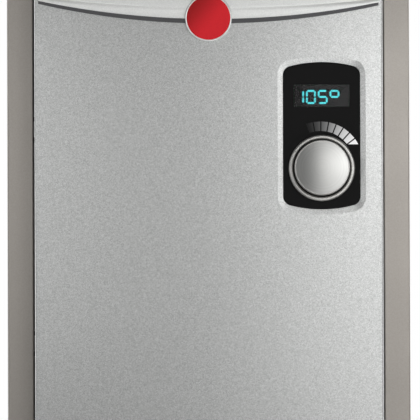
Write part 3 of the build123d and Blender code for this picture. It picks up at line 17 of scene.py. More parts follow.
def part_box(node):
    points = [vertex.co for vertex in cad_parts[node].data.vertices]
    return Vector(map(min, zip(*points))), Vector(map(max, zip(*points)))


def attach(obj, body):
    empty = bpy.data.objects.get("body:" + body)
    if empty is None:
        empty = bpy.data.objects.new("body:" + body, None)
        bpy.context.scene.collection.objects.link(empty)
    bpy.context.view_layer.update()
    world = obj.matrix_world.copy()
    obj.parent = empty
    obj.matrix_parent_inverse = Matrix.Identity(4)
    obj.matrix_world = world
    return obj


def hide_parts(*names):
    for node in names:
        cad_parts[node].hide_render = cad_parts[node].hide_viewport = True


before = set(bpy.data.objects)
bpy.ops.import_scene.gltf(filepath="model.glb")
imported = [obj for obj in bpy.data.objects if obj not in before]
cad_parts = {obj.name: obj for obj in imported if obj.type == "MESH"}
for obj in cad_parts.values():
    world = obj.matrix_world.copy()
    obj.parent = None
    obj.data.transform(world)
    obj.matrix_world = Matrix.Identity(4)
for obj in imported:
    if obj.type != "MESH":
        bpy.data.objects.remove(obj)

log = logging.getLogger("water_heater")

Tree = bpy.types.NodeTree
Node = bpy.types.Node
Mesh = bmesh.types.BMesh
Piece = bpy.types.Object

MM = 0.001
WELD_DISTANCE = 0.002 * MM
SHARP_EDGE = math.radians(35)
UP = Vector((0.0, 0.0, 1.0))
TO_FRONT = Vector((0.0, -1.0, 0.0))


# Small helpers
def linear(hex_colour: str) -> tuple[float, float, float, float]:
    """Turns an sRGB hex colour into the linear colour that the shaders work with.

    Args:
        hex_colour: Six hex digits, with or without a leading number sign.

    Returns:
        Linear red, green and blue, and an alpha of one.
    """
    digits = hex_colour.lstrip("#")
    parts = [int(digits[i:i + 2], 16) / 255 for i in (0, 2, 4)]
    light = [p / 12.92 if p <= 0.04045 else ((p + 0.055) / 1.055) ** 2.4 for p in parts]
    return (light[0], light[1], light[2], 1.0)


def put(tree: Tree, kind: str, inputs: dict | None = None, **settings: object) -> Node:
    """Adds a shader node to a tree with its settings, values and links.

    Args:
        tree: The node tree that gets the node.
        kind: The node's type, without the word ShaderNode that each starts with.
        inputs: Input sockets by name or number, each with its value, the socket that feeds it, or
            the node whose first output feeds it.
        **settings: Attributes of the node itself.

    Returns:
        The new node.
    """
    node = tree.nodes.new("ShaderNode" + kind)
    for name, value in settings.items():
        setattr(node, name, value)
    for socket, value in (inputs or {}).items():
        source = value.outputs[0] if isinstance(value, Node) else value
        if isinstance(source, bpy.types.NodeSocket):
            tree.links.new(source, node.inputs[socket])
        else:
            node.inputs[socket].default_value = source
    return node


def per_metre(millimetres: float) -> float:
    """Texture scale whose cells are that many millimetres wide on Object coordinates."""
    return 1 / (millimetres * MM)


# Finishes
@dataclass(frozen=True)
class Finish:
    """What every finish shares: its name, its main colour and how it ends up in a material.

    Attributes:
        name: The real material and the process that made its surface.
        colour: Its main colour.
    """

    name: str
    colour: str = "#FFFFFF"

    def material(self) -> bpy.types.Material:
        """Makes the material, or gives back the one made before under this name.

        Returns:
            The material.
        """
        made = bpy.data.materials.get(self.name)
        if made is None:
            made = bpy.data.materials.new(self.name)
            made.use_nodes = True
            tree = made.node_tree
            tree.nodes.clear()
            shader = put(tree, "BsdfPrincipled", self.inputs(tree))
            put(tree, "OutputMaterial", {"Surface": self.covered(tree, shader)})
        return made

    def inputs(self, tree: Tree) -> dict:
        """What the material's shader is given; each finish has its own."""
        return {"Base Color": linear(self.colour)}

    def covered(self, tree: Tree, shader: Node) -> Node:
        """The shader with whatever lies before it; most have nothing there."""
        return shader

    def place(self, tree: Tree, centre: tuple[float, float, float] = (0.0, 0.0, 0.0)) -> Node:
        """Adds the place on a piece, seen from a centre.

        Args:
            tree: The material's node tree.
            centre: The centre, in metres.

        Returns:
            The place.
        """
        spot = put(tree, "TexCoord").outputs["Object"]
        return put(tree, "VectorMath", {0: spot, 1: centre}, operation="SUBTRACT")

    def pattern(
        self, tree: Tree, cell_mm: float, detail: float, rough: float = 0.5,
        stretch: tuple[float, float, float] = (1.0, 1.0, 1.0),
    ) -> Node:
        """Adds a soft pattern that lies fast on the piece.

        Args:
            tree: The material's node tree.
            cell_mm: Width of its cells, never finer than what shows.
            detail: Number of finer layers on it.
            rough: How much the finer layers count.
            stretch: How its lines are drawn out along X, Y and Z; the smaller, the longer.

        Returns:
            The pattern, round a half.
        """
        drawn = put(tree, "Mapping", {"Vector": self.place(tree), "Scale": stretch})
        return put(tree, "TexNoise", {
            "Vector": drawn, "Scale": per_metre(cell_mm), "Detail": detail, "Roughness": rough,
        })

    def mottled(
        self, tree: Tree, colour: object, pattern: Node, spread: float,
        start: float = 0.0, end: float = 1.0,
    ) -> Node:
        """Darkens and lightens a colour with a pattern.

        Args:
            tree: The material's node tree.
            colour: A hex colour, or the socket that gives the colour.
            pattern: The pattern.
            spread: How far the colour's light strays from its mean, as a share.
            start: The pattern's lowest value.
            end: The pattern's highest value.

        Returns:
            The new colour.
        """
        gain = put(tree, "MapRange", {
            "Value": pattern, "From Min": start, "From Max": end,
            "To Min": 1 - spread, "To Max": 1 + spread,
        })
        base = linear(colour)[:3] if isinstance(colour, str) else colour
        return put(tree, "VectorMath", {0: base, "Scale": gain}, operation="SCALE")


@dataclass(frozen=True)
class FlakePowderCoat(Finish):
    """Metallic powder coat on sheet steel: flakes that catch the light one by one.

    Attributes:
        flake_mm: Size of one flake; drawn coarser than the real 0.05 mm, so that it shows.
        sparkle: How far a flake's brightness strays from the mean, as a share.
        metal: How much of the coat answers as metal.
        roughness: Roughness of the flake layer.
    """

    colour: str = "#B9BAB9"
    flake_mm: float = 0.7
    sparkle: float = 0.34
    metal: float = 0.8
    roughness: float = 0.35

    def inputs(self, tree: Tree) -> dict:
        """Two sizes of flake over a softly waved surface.

        Args:
            tree: The material's node tree.

        Returns:
            The shader's inputs.
        """
        tones = []
        for cell_mm in (self.flake_mm, self.flake_mm * 0.55):
            flakes = put(tree, "TexVoronoi", {
                "Vector": self.place(tree), "Scale": per_metre(cell_mm),
            })
            tones.append(put(tree, "SeparateColor", {0: flakes.outputs["Color"]}).outputs)
        coarse, fine = tones
        both = put(tree, "Math", {0: coarse[0], 1: fine[1]}, operation="ADD")
        peel = self.pattern(tree, cell_mm=2.4, detail=2.0)
        waves = put(tree, "Bump", {"Strength": 0.02, "Distance": 0.2 * MM, "Height": peel})
        return {
            "Base Color": self.mottled(tree, self.colour, both, self.sparkle, end=2.0),
            "Metallic": self.metal, "Roughness": self.roughness,
            "Normal": put(tree, "Bump", {
                "Strength": 0.06, "Distance": 0.1 * MM, "Height": coarse[2], "Normal": waves,
            }),
        }


@dataclass(frozen=True)
class SheetPaint(Finish):
    """Satin stoved paint on folded sheet steel: even, warm, with a fine grain, drawn coarse.

    Attributes:
        metal: How much of the paint answers as metal, from its aluminium pigment.
        roughness: Mean roughness.
        drift: How far the roughness strays from the mean.
    """

    colour: str = "#9F9A94"
    metal: float = 0.7
    roughness: float = 0.42
    drift: float = 0.05

    def inputs(self, tree: Tree) -> dict:
        """A fine grain in tone and a slow drift in gloss.

        Args:
            tree: The material's node tree.

        Returns:
            The shader's inputs.
        """
        grain = self.pattern(tree, cell_mm=1.1, detail=3.0)
        return {
            "Base Color": self.mottled(tree, self.colour, grain, 0.05, 0.3, 0.7),
            "Metallic": self.metal,
            "Roughness": put(tree, "MapRange", {
                "Value": self.pattern(tree, cell_mm=60, detail=2.0),
                "To Min": self.roughness - self.drift, "To Max": self.roughness + self.drift,
            }),
            "Normal": put(tree, "Bump", {"Strength": 0.08, "Distance": 0.15 * MM, "Height": grain}),
        }


@dataclass(frozen=True)
class MouldedPlastic(Finish):
    """Injection-moulded plastic with a spark-eroded texture: fine pits that soften the gloss.

    Attributes:
        roughness: Mean roughness.
        pit_depth: Depth of the texture as a bump strength.
        sheen_level: Level of the surface reflection; deep texture traps most of it.
    """

    roughness: float = 0.45
    pit_depth: float = 0.15
    sheen_level: float = 0.5

    def inputs(self, tree: Tree) -> dict:
        """Fine pits and a slow change of tone.

        Args:
            tree: The material's node tree.

        Returns:
            The shader's inputs.
        """
        pits = self.pattern(tree, cell_mm=0.9, detail=4.0, rough=0.6)
        cloud = self.pattern(tree, cell_mm=25, detail=2.0)
        return {
            "Base Color": self.mottled(tree, self.colour, cloud, 0.08),
            "Roughness": self.roughness, "IOR": 1.53, "Specular IOR Level": self.sheen_level,
            "Normal": put(tree, "Bump", {
                "Strength": self.pit_depth, "Distance": 0.1 * MM, "Height": pits,
            }),
        }


class Grain(Enum):
    """How a metal's surface was worked, as the stretch of its fine lines along X, Y and Z."""

    TUMBLED = (1.0, 1.0, 1.0)
    DRAWN_UPRIGHT = (1.0, 1.0, 0.04)


@dataclass(frozen=True)
class WorkedMetal(Finish):
    """Bare or plated metal: fine working lines or spangle, stains that shift its gloss.

    Attributes:
        stain: Colour of the oxide or plating tint on it.
        stain_share: How much of the stain shows at most.
        roughness: Mean roughness.
        grain: How the surface was worked.
    """

    colour: str = "#C9CBCC"
    stain: str = "#9B9C98"
    stain_share: float = 0.35
    roughness: float = 0.35
    grain: Grain = Grain.TUMBLED

    def inputs(self, tree: Tree) -> dict:
        """Stretched working lines and soft stains.

        Args:
            tree: The material's node tree.

        Returns:
            The shader's inputs.
        """
        lines = self.pattern(tree, cell_mm=0.8, detail=4.0, stretch=self.grain.value)
        amount = put(tree, "MapRange", {
            "Value": self.pattern(tree, cell_mm=18, detail=5.0, rough=0.65),
            "From Min": 0.42, "From Max": 0.72, "To Max": self.stain_share,
        })
        tone = put(
            tree, "Mix", {0: amount, "A": linear(self.colour), "B": linear(self.stain)},
            data_type="RGBA",
        )
        return {
            "Base Color": tone.outputs[2], "Metallic": 1.0,
            "Roughness": put(tree, "MapRange", {
                "Value": lines, "To Min": self.roughness - 0.08, "To Max": self.roughness + 0.12,
            }),
            "Normal": put(tree, "Bump", {"Strength": 0.12, "Distance": 0.05 * MM, "Height": lines}),
        }


@dataclass(frozen=True)
class TurnedMetal(Finish):
    """Satin metal finished on a lathe: rings every 0.1 mm, drawn coarser, that soften the light.

    Attributes:
        centre: A place on the lathe's axis, in metres.
    """

    colour: str = "#9D9D9B"
    centre: tuple[float, float, float] = (0.0, 0.0, 0.0)

    def inputs(self, tree: Tree) -> dict:
        """Rings round the lathe's axis.

        Args:
            tree: The material's node tree.

        Returns:
            The shader's inputs.
        """
        flat = put(
            tree, "VectorMath", {0: self.place(tree, self.centre), 1: (1.0, 0.0, 1.0)},
            operation="MULTIPLY",
        )
        radius = put(tree, "VectorMath", {0: flat}, operation="LENGTH").outputs["Value"]
        rings = put(
            tree, "TexNoise", {"Scale": per_metre(1.3), "Detail": 3.0, "W": radius},
            noise_dimensions="1D",
        )
        gain = put(tree, "MapRange", {"Value": rings, "To Min": 0.9, "To Max": 1.08})
        return {
            "Base Color": put(
                tree, "VectorMath", {0: linear(self.colour)[:3], "Scale": gain}, operation="SCALE",
            ),
            "Metallic": 1.0, "Roughness": 0.28,
            "Normal": put(tree, "Bump", {"Strength": 0.1, "Distance": 0.05 * MM, "Height": rings}),
        }


@dataclass(frozen=True)
class RedEnamel(Finish):
    """Hard enamel under a clear coat: deep red, with a painted shade that darkens it towards the
    upper left, as if the dome turned away from the light there.

    Attributes:
        shade: Red of the painted shade on the upper left side.
        centre: Middle of the badge, in metres.
        radius: Radius of the disc.
    """

    colour: str = "#E2242E"
    shade: str = "#A31317"
    centre: tuple[float, float, float] = (0.0, 0.0, 0.0)
    radius: float = 19.2 * MM

    def inputs(self, tree: Tree) -> dict:
        """A painted shade across the disc, darker towards the upper left, and fine specks in the
        glass.

        Args:
            tree: The material's node tree.

        Returns:
            The shader's inputs.
        """
        # Painted shade: the red darkens towards the upper left of the disc.
        to_light = put(
            tree, "VectorMath", {0: self.place(tree, self.centre), 1: (0.75, 0.0, -0.66)},
            operation="DOT_PRODUCT",
        ).outputs["Value"]
        amount = put(
            tree, "MapRange",
            {"Value": to_light, "From Min": -self.radius, "From Max": self.radius * 0.35},
            interpolation_type="SMOOTHSTEP",
        )
        tone = put(
            tree, "Mix", {0: amount, "A": linear(self.shade), "B": linear(self.colour)},
            data_type="RGBA",
        )
        specks = self.pattern(tree, cell_mm=1.2, detail=3.0)
        return {
            "Base Color": self.mottled(tree, tone.outputs[2], specks, 0.07),
            "Roughness": 0.5, "IOR": 1.52, "Specular IOR Level": 0.15,
            "Coat Weight": 0.08, "Coat Roughness": 0.1,
        }


@dataclass(frozen=True)
class SmokedAcrylic(Finish):
    """Tinted acrylic: clear enough for the lit bars behind it, grey where nothing shines."""

    colour: str = "#D2D2D2"

    def inputs(self, tree: Tree) -> dict:
        """The glossy skin, with faint wipe marks.

        Args:
            tree: The material's node tree.

        Returns:
            The shader's inputs.
        """
        wipes = self.pattern(tree, cell_mm=9, detail=3.0)
        gloss = put(tree, "MapRange", {"Value": wipes, "To Min": 0.05, "To Max": 0.16})
        return {"Base Color": linear("#4E4E4E"), "IOR": 1.49, "Roughness": gloss}

    def covered(self, tree: Tree, shader: Node) -> Node:
        """The skin, mixed with the clear layer that the light comes through.

        Args:
            tree: The material's node tree.
            shader: The skin.

        Returns:
            Both together.
        """
        clear = put(tree, "BsdfTransparent", {"Color": linear(self.colour)})
        facing = put(tree, "LayerWeight", {"Blend": 0.2}).outputs["Fresnel"]
        share = put(tree, "MapRange", {"Value": facing, "To Min": 0.16, "To Max": 0.9})
        return put(tree, "MixShader", {0: share, 1: clear, 2: shader})


@dataclass(frozen=True)
class LitBar(Finish):
    """Frosted light pipe over a lamp: glows evenly, with a fine mottling from the frosting."""

    colour: str = "#5CF3FA"

    def inputs(self, tree: Tree) -> dict:
        """The glow over the unlit pipe.

        Args:
            tree: The material's node tree.

        Returns:
            The shader's inputs.
        """
        frost = self.pattern(tree, cell_mm=1.0, detail=2.0)
        return {
            "Base Color": linear("#20484A"), "Roughness": 0.5, "Emission Strength": 1.65,
            "Emission Color": self.mottled(tree, self.colour, frost, 0.08),
        }


@dataclass(frozen=True)
class ScaleLights(Finish):
    """White light pipes of the temperature scale, dimmed from the hot end to the cold end.

    Attributes:
        centre: Middle of the scale's arc, in metres.
        angles: Clockwise angle from straight up of the first and the last bar, in degrees.
        tones: Share of the way from the first bar to the last, and the light there.
    """

    colour: str = "#0A0A0A"
    centre: tuple[float, float, float] = (0.0, 0.0, 0.0)
    angles: tuple[float, float] = (-20.5, 62.0)
    tones: tuple[tuple[float, str], ...] = (
        (0.0, "#151515"), (0.05, "#202020"), (0.092, "#2A2A2A"), (0.196, "#434343"),
        (0.3, "#626262"), (0.42, "#848484"), (0.55, "#A8A8A8"), (0.69, "#C7C7C7"),
        (0.81, "#DADADA"), (0.94, "#F0F0F0"),
    )

    def inputs(self, tree: Tree) -> dict:
        """The light, from the angle round the scale's middle.

        Args:
            tree: The material's node tree.

        Returns:
            The shader's inputs.
        """
        first, last = (math.radians(angle) for angle in self.angles)
        parts = put(tree, "SeparateXYZ", {0: self.place(tree, self.centre)}).outputs
        angle = put(tree, "Math", {0: parts["X"], 1: parts["Z"]}, operation="ARCTAN2")
        level = put(tree, "MapRange", {"Value": angle, "From Min": first, "From Max": last})
        ramp = put(tree, "ValToRGB", {0: level})
        marks = ramp.color_ramp.elements
        marks.remove(marks[1])
        marks[0].color = linear(self.tones[0][1])
        for position, tone in self.tones[1:]:
            marks.new(position).color = linear(tone)
        frost = self.pattern(tree, cell_mm=1.0, detail=2.0)
        return {
            "Base Color": linear(self.colour), "Roughness": 0.6, "Specular IOR Level": 0.1,
            "Emission Strength": 1.0,
            "Emission Color": self.mottled(tree, ramp.outputs[0], frost, 0.06),
        }


@dataclass(frozen=True)
class CircuitBoard(Finish):
    """Fibreglass board under green solder mask: copper runs show as lighter lines, vias as dots.

    Attributes:
        track: Green of the mask over copper.
    """

    colour: str = "#14502F"
    track: str = "#2A7A48"

    def inputs(self, tree: Tree) -> dict:
        """Brick-laid runs, 5 mm wide and kept to patches, and tinned vias about 9 mm apart.

        Args:
            tree: The material's node tree.

        Returns:
            The shader's inputs.
        """
        place = self.place(tree)
        upright = put(tree, "Mapping", {"Rotation": (math.pi / 2, 0.0, 0.0), "Vector": place})
        runs = put(tree, "TexBrick", {
            "Vector": upright, "Scale": per_metre(5),
            "Color1": (0, 0, 0, 1), "Color2": (0, 0, 0, 1), "Mortar": (1, 1, 1, 1),
            "Mortar Size": 0.09, "Mortar Smooth": 0.1, "Brick Width": 3.1, "Row Height": 0.62,
        })
        routed = put(tree, "MapRange", {
            "Value": self.pattern(tree, cell_mm=14.4, detail=1.0),
            "From Min": 0.47, "From Max": 0.5,
        })
        copper = put(tree, "Math", {0: runs, 1: routed}, operation="MULTIPLY")
        vias = put(tree, "TexVoronoi", {"Scale": per_metre(9), "Randomness": 0.7, "Vector": place})
        dot = put(tree, "Math", {0: vias.outputs["Distance"], 1: 0.075}, operation="LESS_THAN")
        tone = linear(self.colour)
        for amount, colour in ((copper, self.track), (dot, "#C4C2B6")):
            tone = put(
                tree, "Mix", {0: amount, "A": tone, "B": linear(colour)}, data_type="RGBA",
            ).outputs[2]
        return {
            "Base Color": tone, "Metallic": dot, "Roughness": 0.3, "IOR": 1.5, "Coat Weight": 0.3,
            "Normal": put(tree, "Bump", {"Strength": 0.3, "Distance": 0.1 * MM, "Height": copper}),
        }


@dataclass(frozen=True)
class GlazedCeramic(Finish):
    """Pressed steatite with a thin glaze: off-white, faintly speckled, soft highlights."""

    colour: str = "#E6E1D6"

    def inputs(self, tree: Tree) -> dict:
        """Specks under a glaze.

        Args:
            tree: The material's node tree.

        Returns:
            The shader's inputs.
        """
        specks = self.pattern(tree, cell_mm=0.9, detail=4.0)
        tone = put(
            tree, "Mix", {0: specks, "A": linear("#C9C2B2"), "B": linear(self.colour)},
            data_type="RGBA",
        )
        return {
            "Base Color": tone.outputs[2], "Roughness": 0.35, "IOR": 1.6, "Coat Weight": 0.5,
            "Coat Roughness": 0.1,
        }


@dataclass(frozen=True)
class LeadJacket(Finish):
    """Extruded lead insulation: smooth, slightly waxy, with faint blotches of tone and gloss."""

    colour: str = "#1B1B1D"

    def inputs(self, tree: Tree) -> dict:
        """Blotches of tone and gloss.

        Args:
            tree: The material's node tree.

        Returns:
            The shader's inputs.
        """
        skin = self.pattern(tree, cell_mm=1.4, detail=3.0)
        return {
            "Base Color": self.mottled(tree, self.colour, skin, 0.15),
            "Roughness": put(tree, "MapRange", {"Value": skin, "To Min": 0.3, "To Max": 0.46}),
            "IOR": 1.45, "Sheen Weight": 0.1,
        }


@dataclass(frozen=True)
class StudioPaper(Finish):
    """Seamless floor paper: pale, quite matt."""

    colour: str = "#E9E8E6"

    def inputs(self, tree: Tree) -> dict:
        """The paper's tone."""
        return {"Base Color": linear(self.colour), "Roughness": 0.9}


# Making pieces
def dress(node: str, finish: Finish) -> None:
    """Gives a CAD node its finish.

    Args:
        node: Name of the CAD node.
        finish: The finish that the node wears.
    """
    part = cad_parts[node]
    if not part.material_slots:
        part.data.materials.append(None)
    for slot in part.material_slots:
        slot.material = finish.material()


def placed(name: str, mesh: Mesh, finish: Finish) -> Piece:
    """Turns a mesh into an object at the origin, with its place in its mesh.

    Args:
        name: Name of the object.
        mesh: Its mesh, which is used up.
        finish: Its finish.

    Returns:
        The object.
    """
    data = bpy.data.meshes.new(name)
    mesh.to_mesh(data)
    mesh.free()
    data.materials.append(finish.material())
    made = bpy.data.objects.new(name, data)
    bpy.context.scene.collection.objects.link(made)
    return made


def settle(name: str, mesh: Mesh, finish: Finish, body: str, slot: str, *nodes: str) -> Piece:
    """Turns a mesh into a finished piece that rides on a body.

    Args:
        name: Name of the piece.
        mesh: Its mesh, which is used up.
        finish: Its finish.
        body: The body that it rides on.
        slot: Name of a material slot; not used.
        *nodes: The CAD nodes that it stands for.

    Returns:
        The piece.
    """
    bmesh.ops.remove_doubles(mesh, verts=mesh.verts, dist=WELD_DISTANCE)
    bmesh.ops.recalc_face_normals(mesh, faces=mesh.faces)
    for face in mesh.faces:
        face.smooth = True
    for edge in mesh.edges:
        edge.smooth = edge.calc_face_angle(0.0) < SHARP_EDGE
    piece = placed(name, mesh, finish)
    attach(piece, body)
    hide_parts(*nodes)
    return piece


def verts_in(geometry: list) -> list[bmesh.types.BMVert]:
    """Vertices among what an operator made."""
    return [item for item in geometry if isinstance(item, bmesh.types.BMVert)]


def turned(
    mesh: Mesh, outline: list[tuple[float, float]], centre: Vector, steps: int, along: Vector = UP,
) -> None:
    """Turns a closed outline round an axis into a ring or a tube.

    Args:
        mesh: The mesh that gets the shape.
        outline: Radius and height of each corner, in order.
        centre: Where the axis has height zero.
        steps: Steps of the full turn.
        along: Direction of the axis.
    """
    out = along.orthogonal().normalized()
    corners = [mesh.verts.new(centre + out * radius + along * height) for radius, height in outline]
    edges = [mesh.edges.new((corners[i - 1], corners[i])) for i in range(len(corners))]
    bmesh.ops.spin(
        mesh, geom=corners + edges, cent=centre, axis=along, angle=math.tau, steps=steps,
        use_merge=True,
    )


def round_edges(mesh: Mesh, edges: list, radius: float, segments: int) -> None:
    """Rounds edges of a mesh.

    Args:
        mesh: The mesh.
        edges: The edges to round.
        radius: How far the rounding reaches from an edge.
        segments: Faces across an edge.
    """
    bmesh.ops.bevel(
        mesh, geom=edges, offset=radius, offset_type="OFFSET", segments=segments, profile=0.5,
        affect="EDGES", material=-1,
    )


def rounded_block(mesh: Mesh, low: Vector, high: Vector, edge: float, segments: int = 3) -> None:
    """Adds a block with rounded edges.

    Args:
        mesh: The mesh that gets the block.
        low: Its lowest corner.
        high: Its highest corner.
        edge: Radius of its edges.
        segments: Faces across an edge.
    """
    place = Matrix.Translation((low + high) / 2) @ Matrix.Diagonal((*(high - low), 1.0))
    made = bmesh.ops.create_cube(mesh, size=1.0, matrix=place)["verts"]
    round_edges(mesh, list({e for v in made for e in v.link_edges}), edge, segments)


def middle(node: str) -> tuple[float, float, float]:
    """Middle of a CAD node's box, in metres."""
    low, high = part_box(node)
    return tuple((low + high) / 2)


SILVER_COAT = FlakePowderCoat("silver flake powder coat")
HEADER_COAT = FlakePowderCoat(
    "pale silver flake powder coat", colour="#DCDDDB", sparkle=0.09, metal=0.6, roughness=0.45,
)
SILVER_ABS = FlakePowderCoat(
    "silver painted ABS", colour="#A6A5A2", flake_mm=0.9, sparkle=0.06, metal=0.9, roughness=0.3,
)
WARM_PAINT = SheetPaint("warm grey stoved paint")
PLATED_STEEL = WorkedMetal("zinc plated steel")
BRIGHT_PLATE = WorkedMetal("bright nickel plate", colour="#E4E4E2", stain_share=0.1, roughness=0.2)
SATIN_PLATE = WorkedMetal("satin nickel plate", colour="#F6F6F4", stain_share=0.05, roughness=0.36)
DRAWN_COPPER = WorkedMetal(
    "drawn copper", colour="#D98A64", stain="#8C4A33", stain_share=0.6, roughness=0.3,
    grain=Grain.DRAWN_UPRIGHT,
)
TURNED_BRASS = WorkedMetal("turned brass", colour="#D8B45F", stain="#9C7A38", roughness=0.28)
SHEATH_STEEL = WorkedMetal(
    "drawn stainless steel", colour="#B9B8B4", stain="#7F7A70", roughness=0.3,
)
EXTRUDED_ALUMINIUM = WorkedMetal(
    "extruded aluminium", colour="#CDCFD1", stain_share=0.15, roughness=0.38,
    grain=Grain.DRAWN_UPRIGHT,
)
DARK_ABS = MouldedPlastic("dark moulded ABS", colour="#464648")
PANEL_ABS = MouldedPlastic(
    "black panel ABS", colour="#0C0C0C", roughness=0.6, pit_depth=0.2, sheen_level=0.12,
)
HOUSING_ABS = MouldedPlastic("display housing", colour="#2F2F2F", roughness=0.5)
BLACK_THERMOSET = MouldedPlastic("black moulded thermoset", colour="#1A1A1B", roughness=0.5)
WHITE_NYLON = MouldedPlastic("natural nylon", colour="#D8D6CC", roughness=0.4)
SADDLE_NYLON = MouldedPlastic("glass filled nylon", colour="#4B4D50", roughness=0.55, pit_depth=0.3)
BUTTON_RED = MouldedPlastic("red moulded nylon", colour="#B8242A", roughness=0.35)
SEAL_RUBBER = MouldedPlastic("moulded rubber", colour="#202021", roughness=0.7, pit_depth=0.3)
RELAY_CASE = MouldedPlastic("blue moulded polyester", colour="#23406E", roughness=0.4)
CAPACITOR_SLEEVE = MouldedPlastic(
    "shrunk capacitor sleeve", colour="#20232B", roughness=0.28, pit_depth=0.05,
)
WINDING_TAPE = MouldedPlastic(
    "yellow polyester tape", colour="#D9B23A", roughness=0.35, pit_depth=0.1,
)
STEATITE = GlazedCeramic("glazed steatite")
GREEN_BOARD = CircuitBoard("green solder mask board")
BLACK_JACKET = LeadJacket("black silicone lead jacket")
RED_JACKET = LeadJacket("red silicone lead jacket", colour="#A81E22")
CYAN_GLOW = LitBar("cyan light pipe")
WINDOW_ACRYLIC = SmokedAcrylic("smoked acrylic")


# Sub-assemblies
class SubAssembly:
    """A group of pieces that are dressed or built together."""

    title: str = "sub-assembly"

    def build(self) -> None:
        """Builds and dresses every piece of the group, and says so in the log."""
        for finish, nodes in self.finishes().items():
            for node in nodes.split():
                dress(node, finish)
                log.info("%s: dressed %s as %s", self.title, node, finish.name)
        for piece in self.pieces():
            log.info("%s: built %s", self.title, piece.name)

    def finishes(self) -> dict[Finish, str]:
        """Each finish of the group, with the names of the CAD nodes that wear it."""
        return {}

    def pieces(self) -> list[Piece]:
        """New pieces of the group."""
        return []


@dataclass
class Case(SubAssembly):
    """Back plate, rails, end plates and screws, and the folded front cover.

    Attributes:
        screw_across: Distance between the two screws of one end.
        head_radius: Radius of a screw's head.
        head_height: Height of a screw's head.
        dome_share: Share of the head's height that its dome takes up.
        grid_shares: Lines of the grid that a head starts from, as shares of its radius.
        round_from_share: Share of the radius from which on the grid's lines are drawn round.
        cross_waist_share: Half the cross's waist, as a share of the head's radius.
        cross_arm_share: Reach of the cross's arms, as a share of the head's radius.
        cross_depth: Depth of the cross.
        cross_draft: How far the cross narrows on its way down, as a share.
        cross_crease: How sharp the cross's edges stay when the head is smoothed.
        shank_radius: Radius of a screw's shank.
        shank_length: Length of a screw's shank.
        point_share: Radius of the shank's blunt point, as a share of the shank's.
    """

    screw_across: float = 200 * MM
    head_radius: float = 4.4 * MM
    head_height: float = 2.4 * MM
    dome_share: float = 0.45
    grid_shares: tuple[float, ...] = (-1.0, -0.62, -0.17, 0.17, 0.62, 1.0)
    round_from_share: float = 0.5
    cross_waist_share: float = 0.1
    cross_arm_share: float = 0.5
    cross_depth: float = 1.5 * MM
    cross_draft: float = 0.22
    cross_crease: float = 0.85
    shank_radius: float = 2.0 * MM
    shank_length: float = 8.0 * MM
    point_share: float = 0.6

    title = "case"

    def finishes(self) -> dict[Finish, str]:
        """Finish of each sheet and screw."""
        return {
            PLATED_STEEL: "back_plate cover_screws",
            WARM_PAINT: "left_side_rail right_side_rail top_plate bottom_plate",
            SILVER_COAT: "front_cover",
        }

    def pieces(self) -> list[Piece]:
        """Builds the four cover screws, with domed heads and a cross for the driver.

        Returns:
            One piece with all four screws.
        """
        low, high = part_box("cover_screws")
        mesh = bmesh.new()
        mesh.edges.layers.float.new("crease_edge")
        for x in (-self.screw_across / 2, self.screw_across / 2):
            for out, face in ((UP, high.z), (-UP, low.z)):
                seat = Vector((x, (low.y + high.y) / 2, face)) - out * self.head_height
                self.cross_head(mesh, seat, out)
                self.shank(mesh, seat, out)
        screws = settle(
            "cross_head_cover_screws", mesh, PLATED_STEEL, "chassis", "steel", "cover_screws",
        )
        smooth = screws.modifiers.new("smooth", "SUBSURF")
        smooth.levels = smooth.render_levels = 2
        return [screws]

    def cross_head(self, mesh: Mesh, seat: Vector, out: Vector) -> None:
        """Adds one domed head with a cross-shaped recess.

        Args:
            mesh: The mesh that gets the head.
            seat: Middle of the face that the head lies on.
            out: Direction in which the head stands proud.
        """
        cells = len(self.grid_shares) - 1
        grid = bmesh.ops.create_grid(mesh, x_segments=cells, y_segments=cells, size=1.0)["verts"]
        for corner in grid:
            x, y = (self.grid_shares[round((c + 1) * cells / 2)] for c in corner.co.xy)
            ring = max(abs(x), abs(y))
            pull = ring / math.hypot(x, y) if ring > self.round_from_share else 1.0
            flat = Vector((x * pull, y * pull, 0.0)) * self.head_radius
            drop = self.dome_share * (flat.length / self.head_radius) ** 2
            corner.co = seat + flat + out * self.head_height * (1 - drop)
        faces = list({f for v in grid for f in v.link_faces})
        rim = list({e for f in faces for e in f.edges if e.is_boundary})
        for corner in verts_in(bmesh.ops.extrude_edge_only(mesh, edges=rim)["geom"]):
            corner.co.z = seat.z
        cross = [f for f in faces if self.in_cross(f.calc_center_median() - seat)]
        lip = {e for f in cross for e in f.edges if sum(g in cross for g in e.link_faces) == 1}
        dug = bmesh.ops.extrude_face_region(mesh, geom=cross)["geom"]
        for corner in verts_in(dug):
            corner.co = corner.co.lerp(seat + out * self.head_height, self.cross_draft)
            corner.co -= out * self.cross_depth
        crease = mesh.edges.layers.float["crease_edge"]
        for edge in lip | {g for g in dug if isinstance(g, bmesh.types.BMEdge)}:
            edge[crease] = self.cross_crease
        bmesh.ops.delete(mesh, geom=cross, context="FACES_ONLY")

    def in_cross(self, away: Vector) -> bool:
        """Whether a place, seen from the head's middle, lies in the cross."""
        near, far = sorted((abs(away.x) / self.head_radius, abs(away.y) / self.head_radius))
        return near < self.cross_waist_share and far < self.cross_arm_share

    def shank(self, mesh: Mesh, seat: Vector, out: Vector) -> None:
        """Adds the shank under a head, down to its blunt point.

        Args:
            mesh: The mesh that gets the shank.
            seat: Middle of the face that the head lies on.
            out: Direction in which the head stands proud.
        """
        turn = out.to_track_quat("Z", "Y").to_matrix().to_4x4()
        bmesh.ops.create_cone(
            mesh, cap_ends=True, segments=16, radius1=self.shank_radius * self.point_share,
            radius2=self.shank_radius, depth=self.shank_length,
            matrix=Matrix.Translation(seat - out * self.shank_length / 2) @ turn,
        )


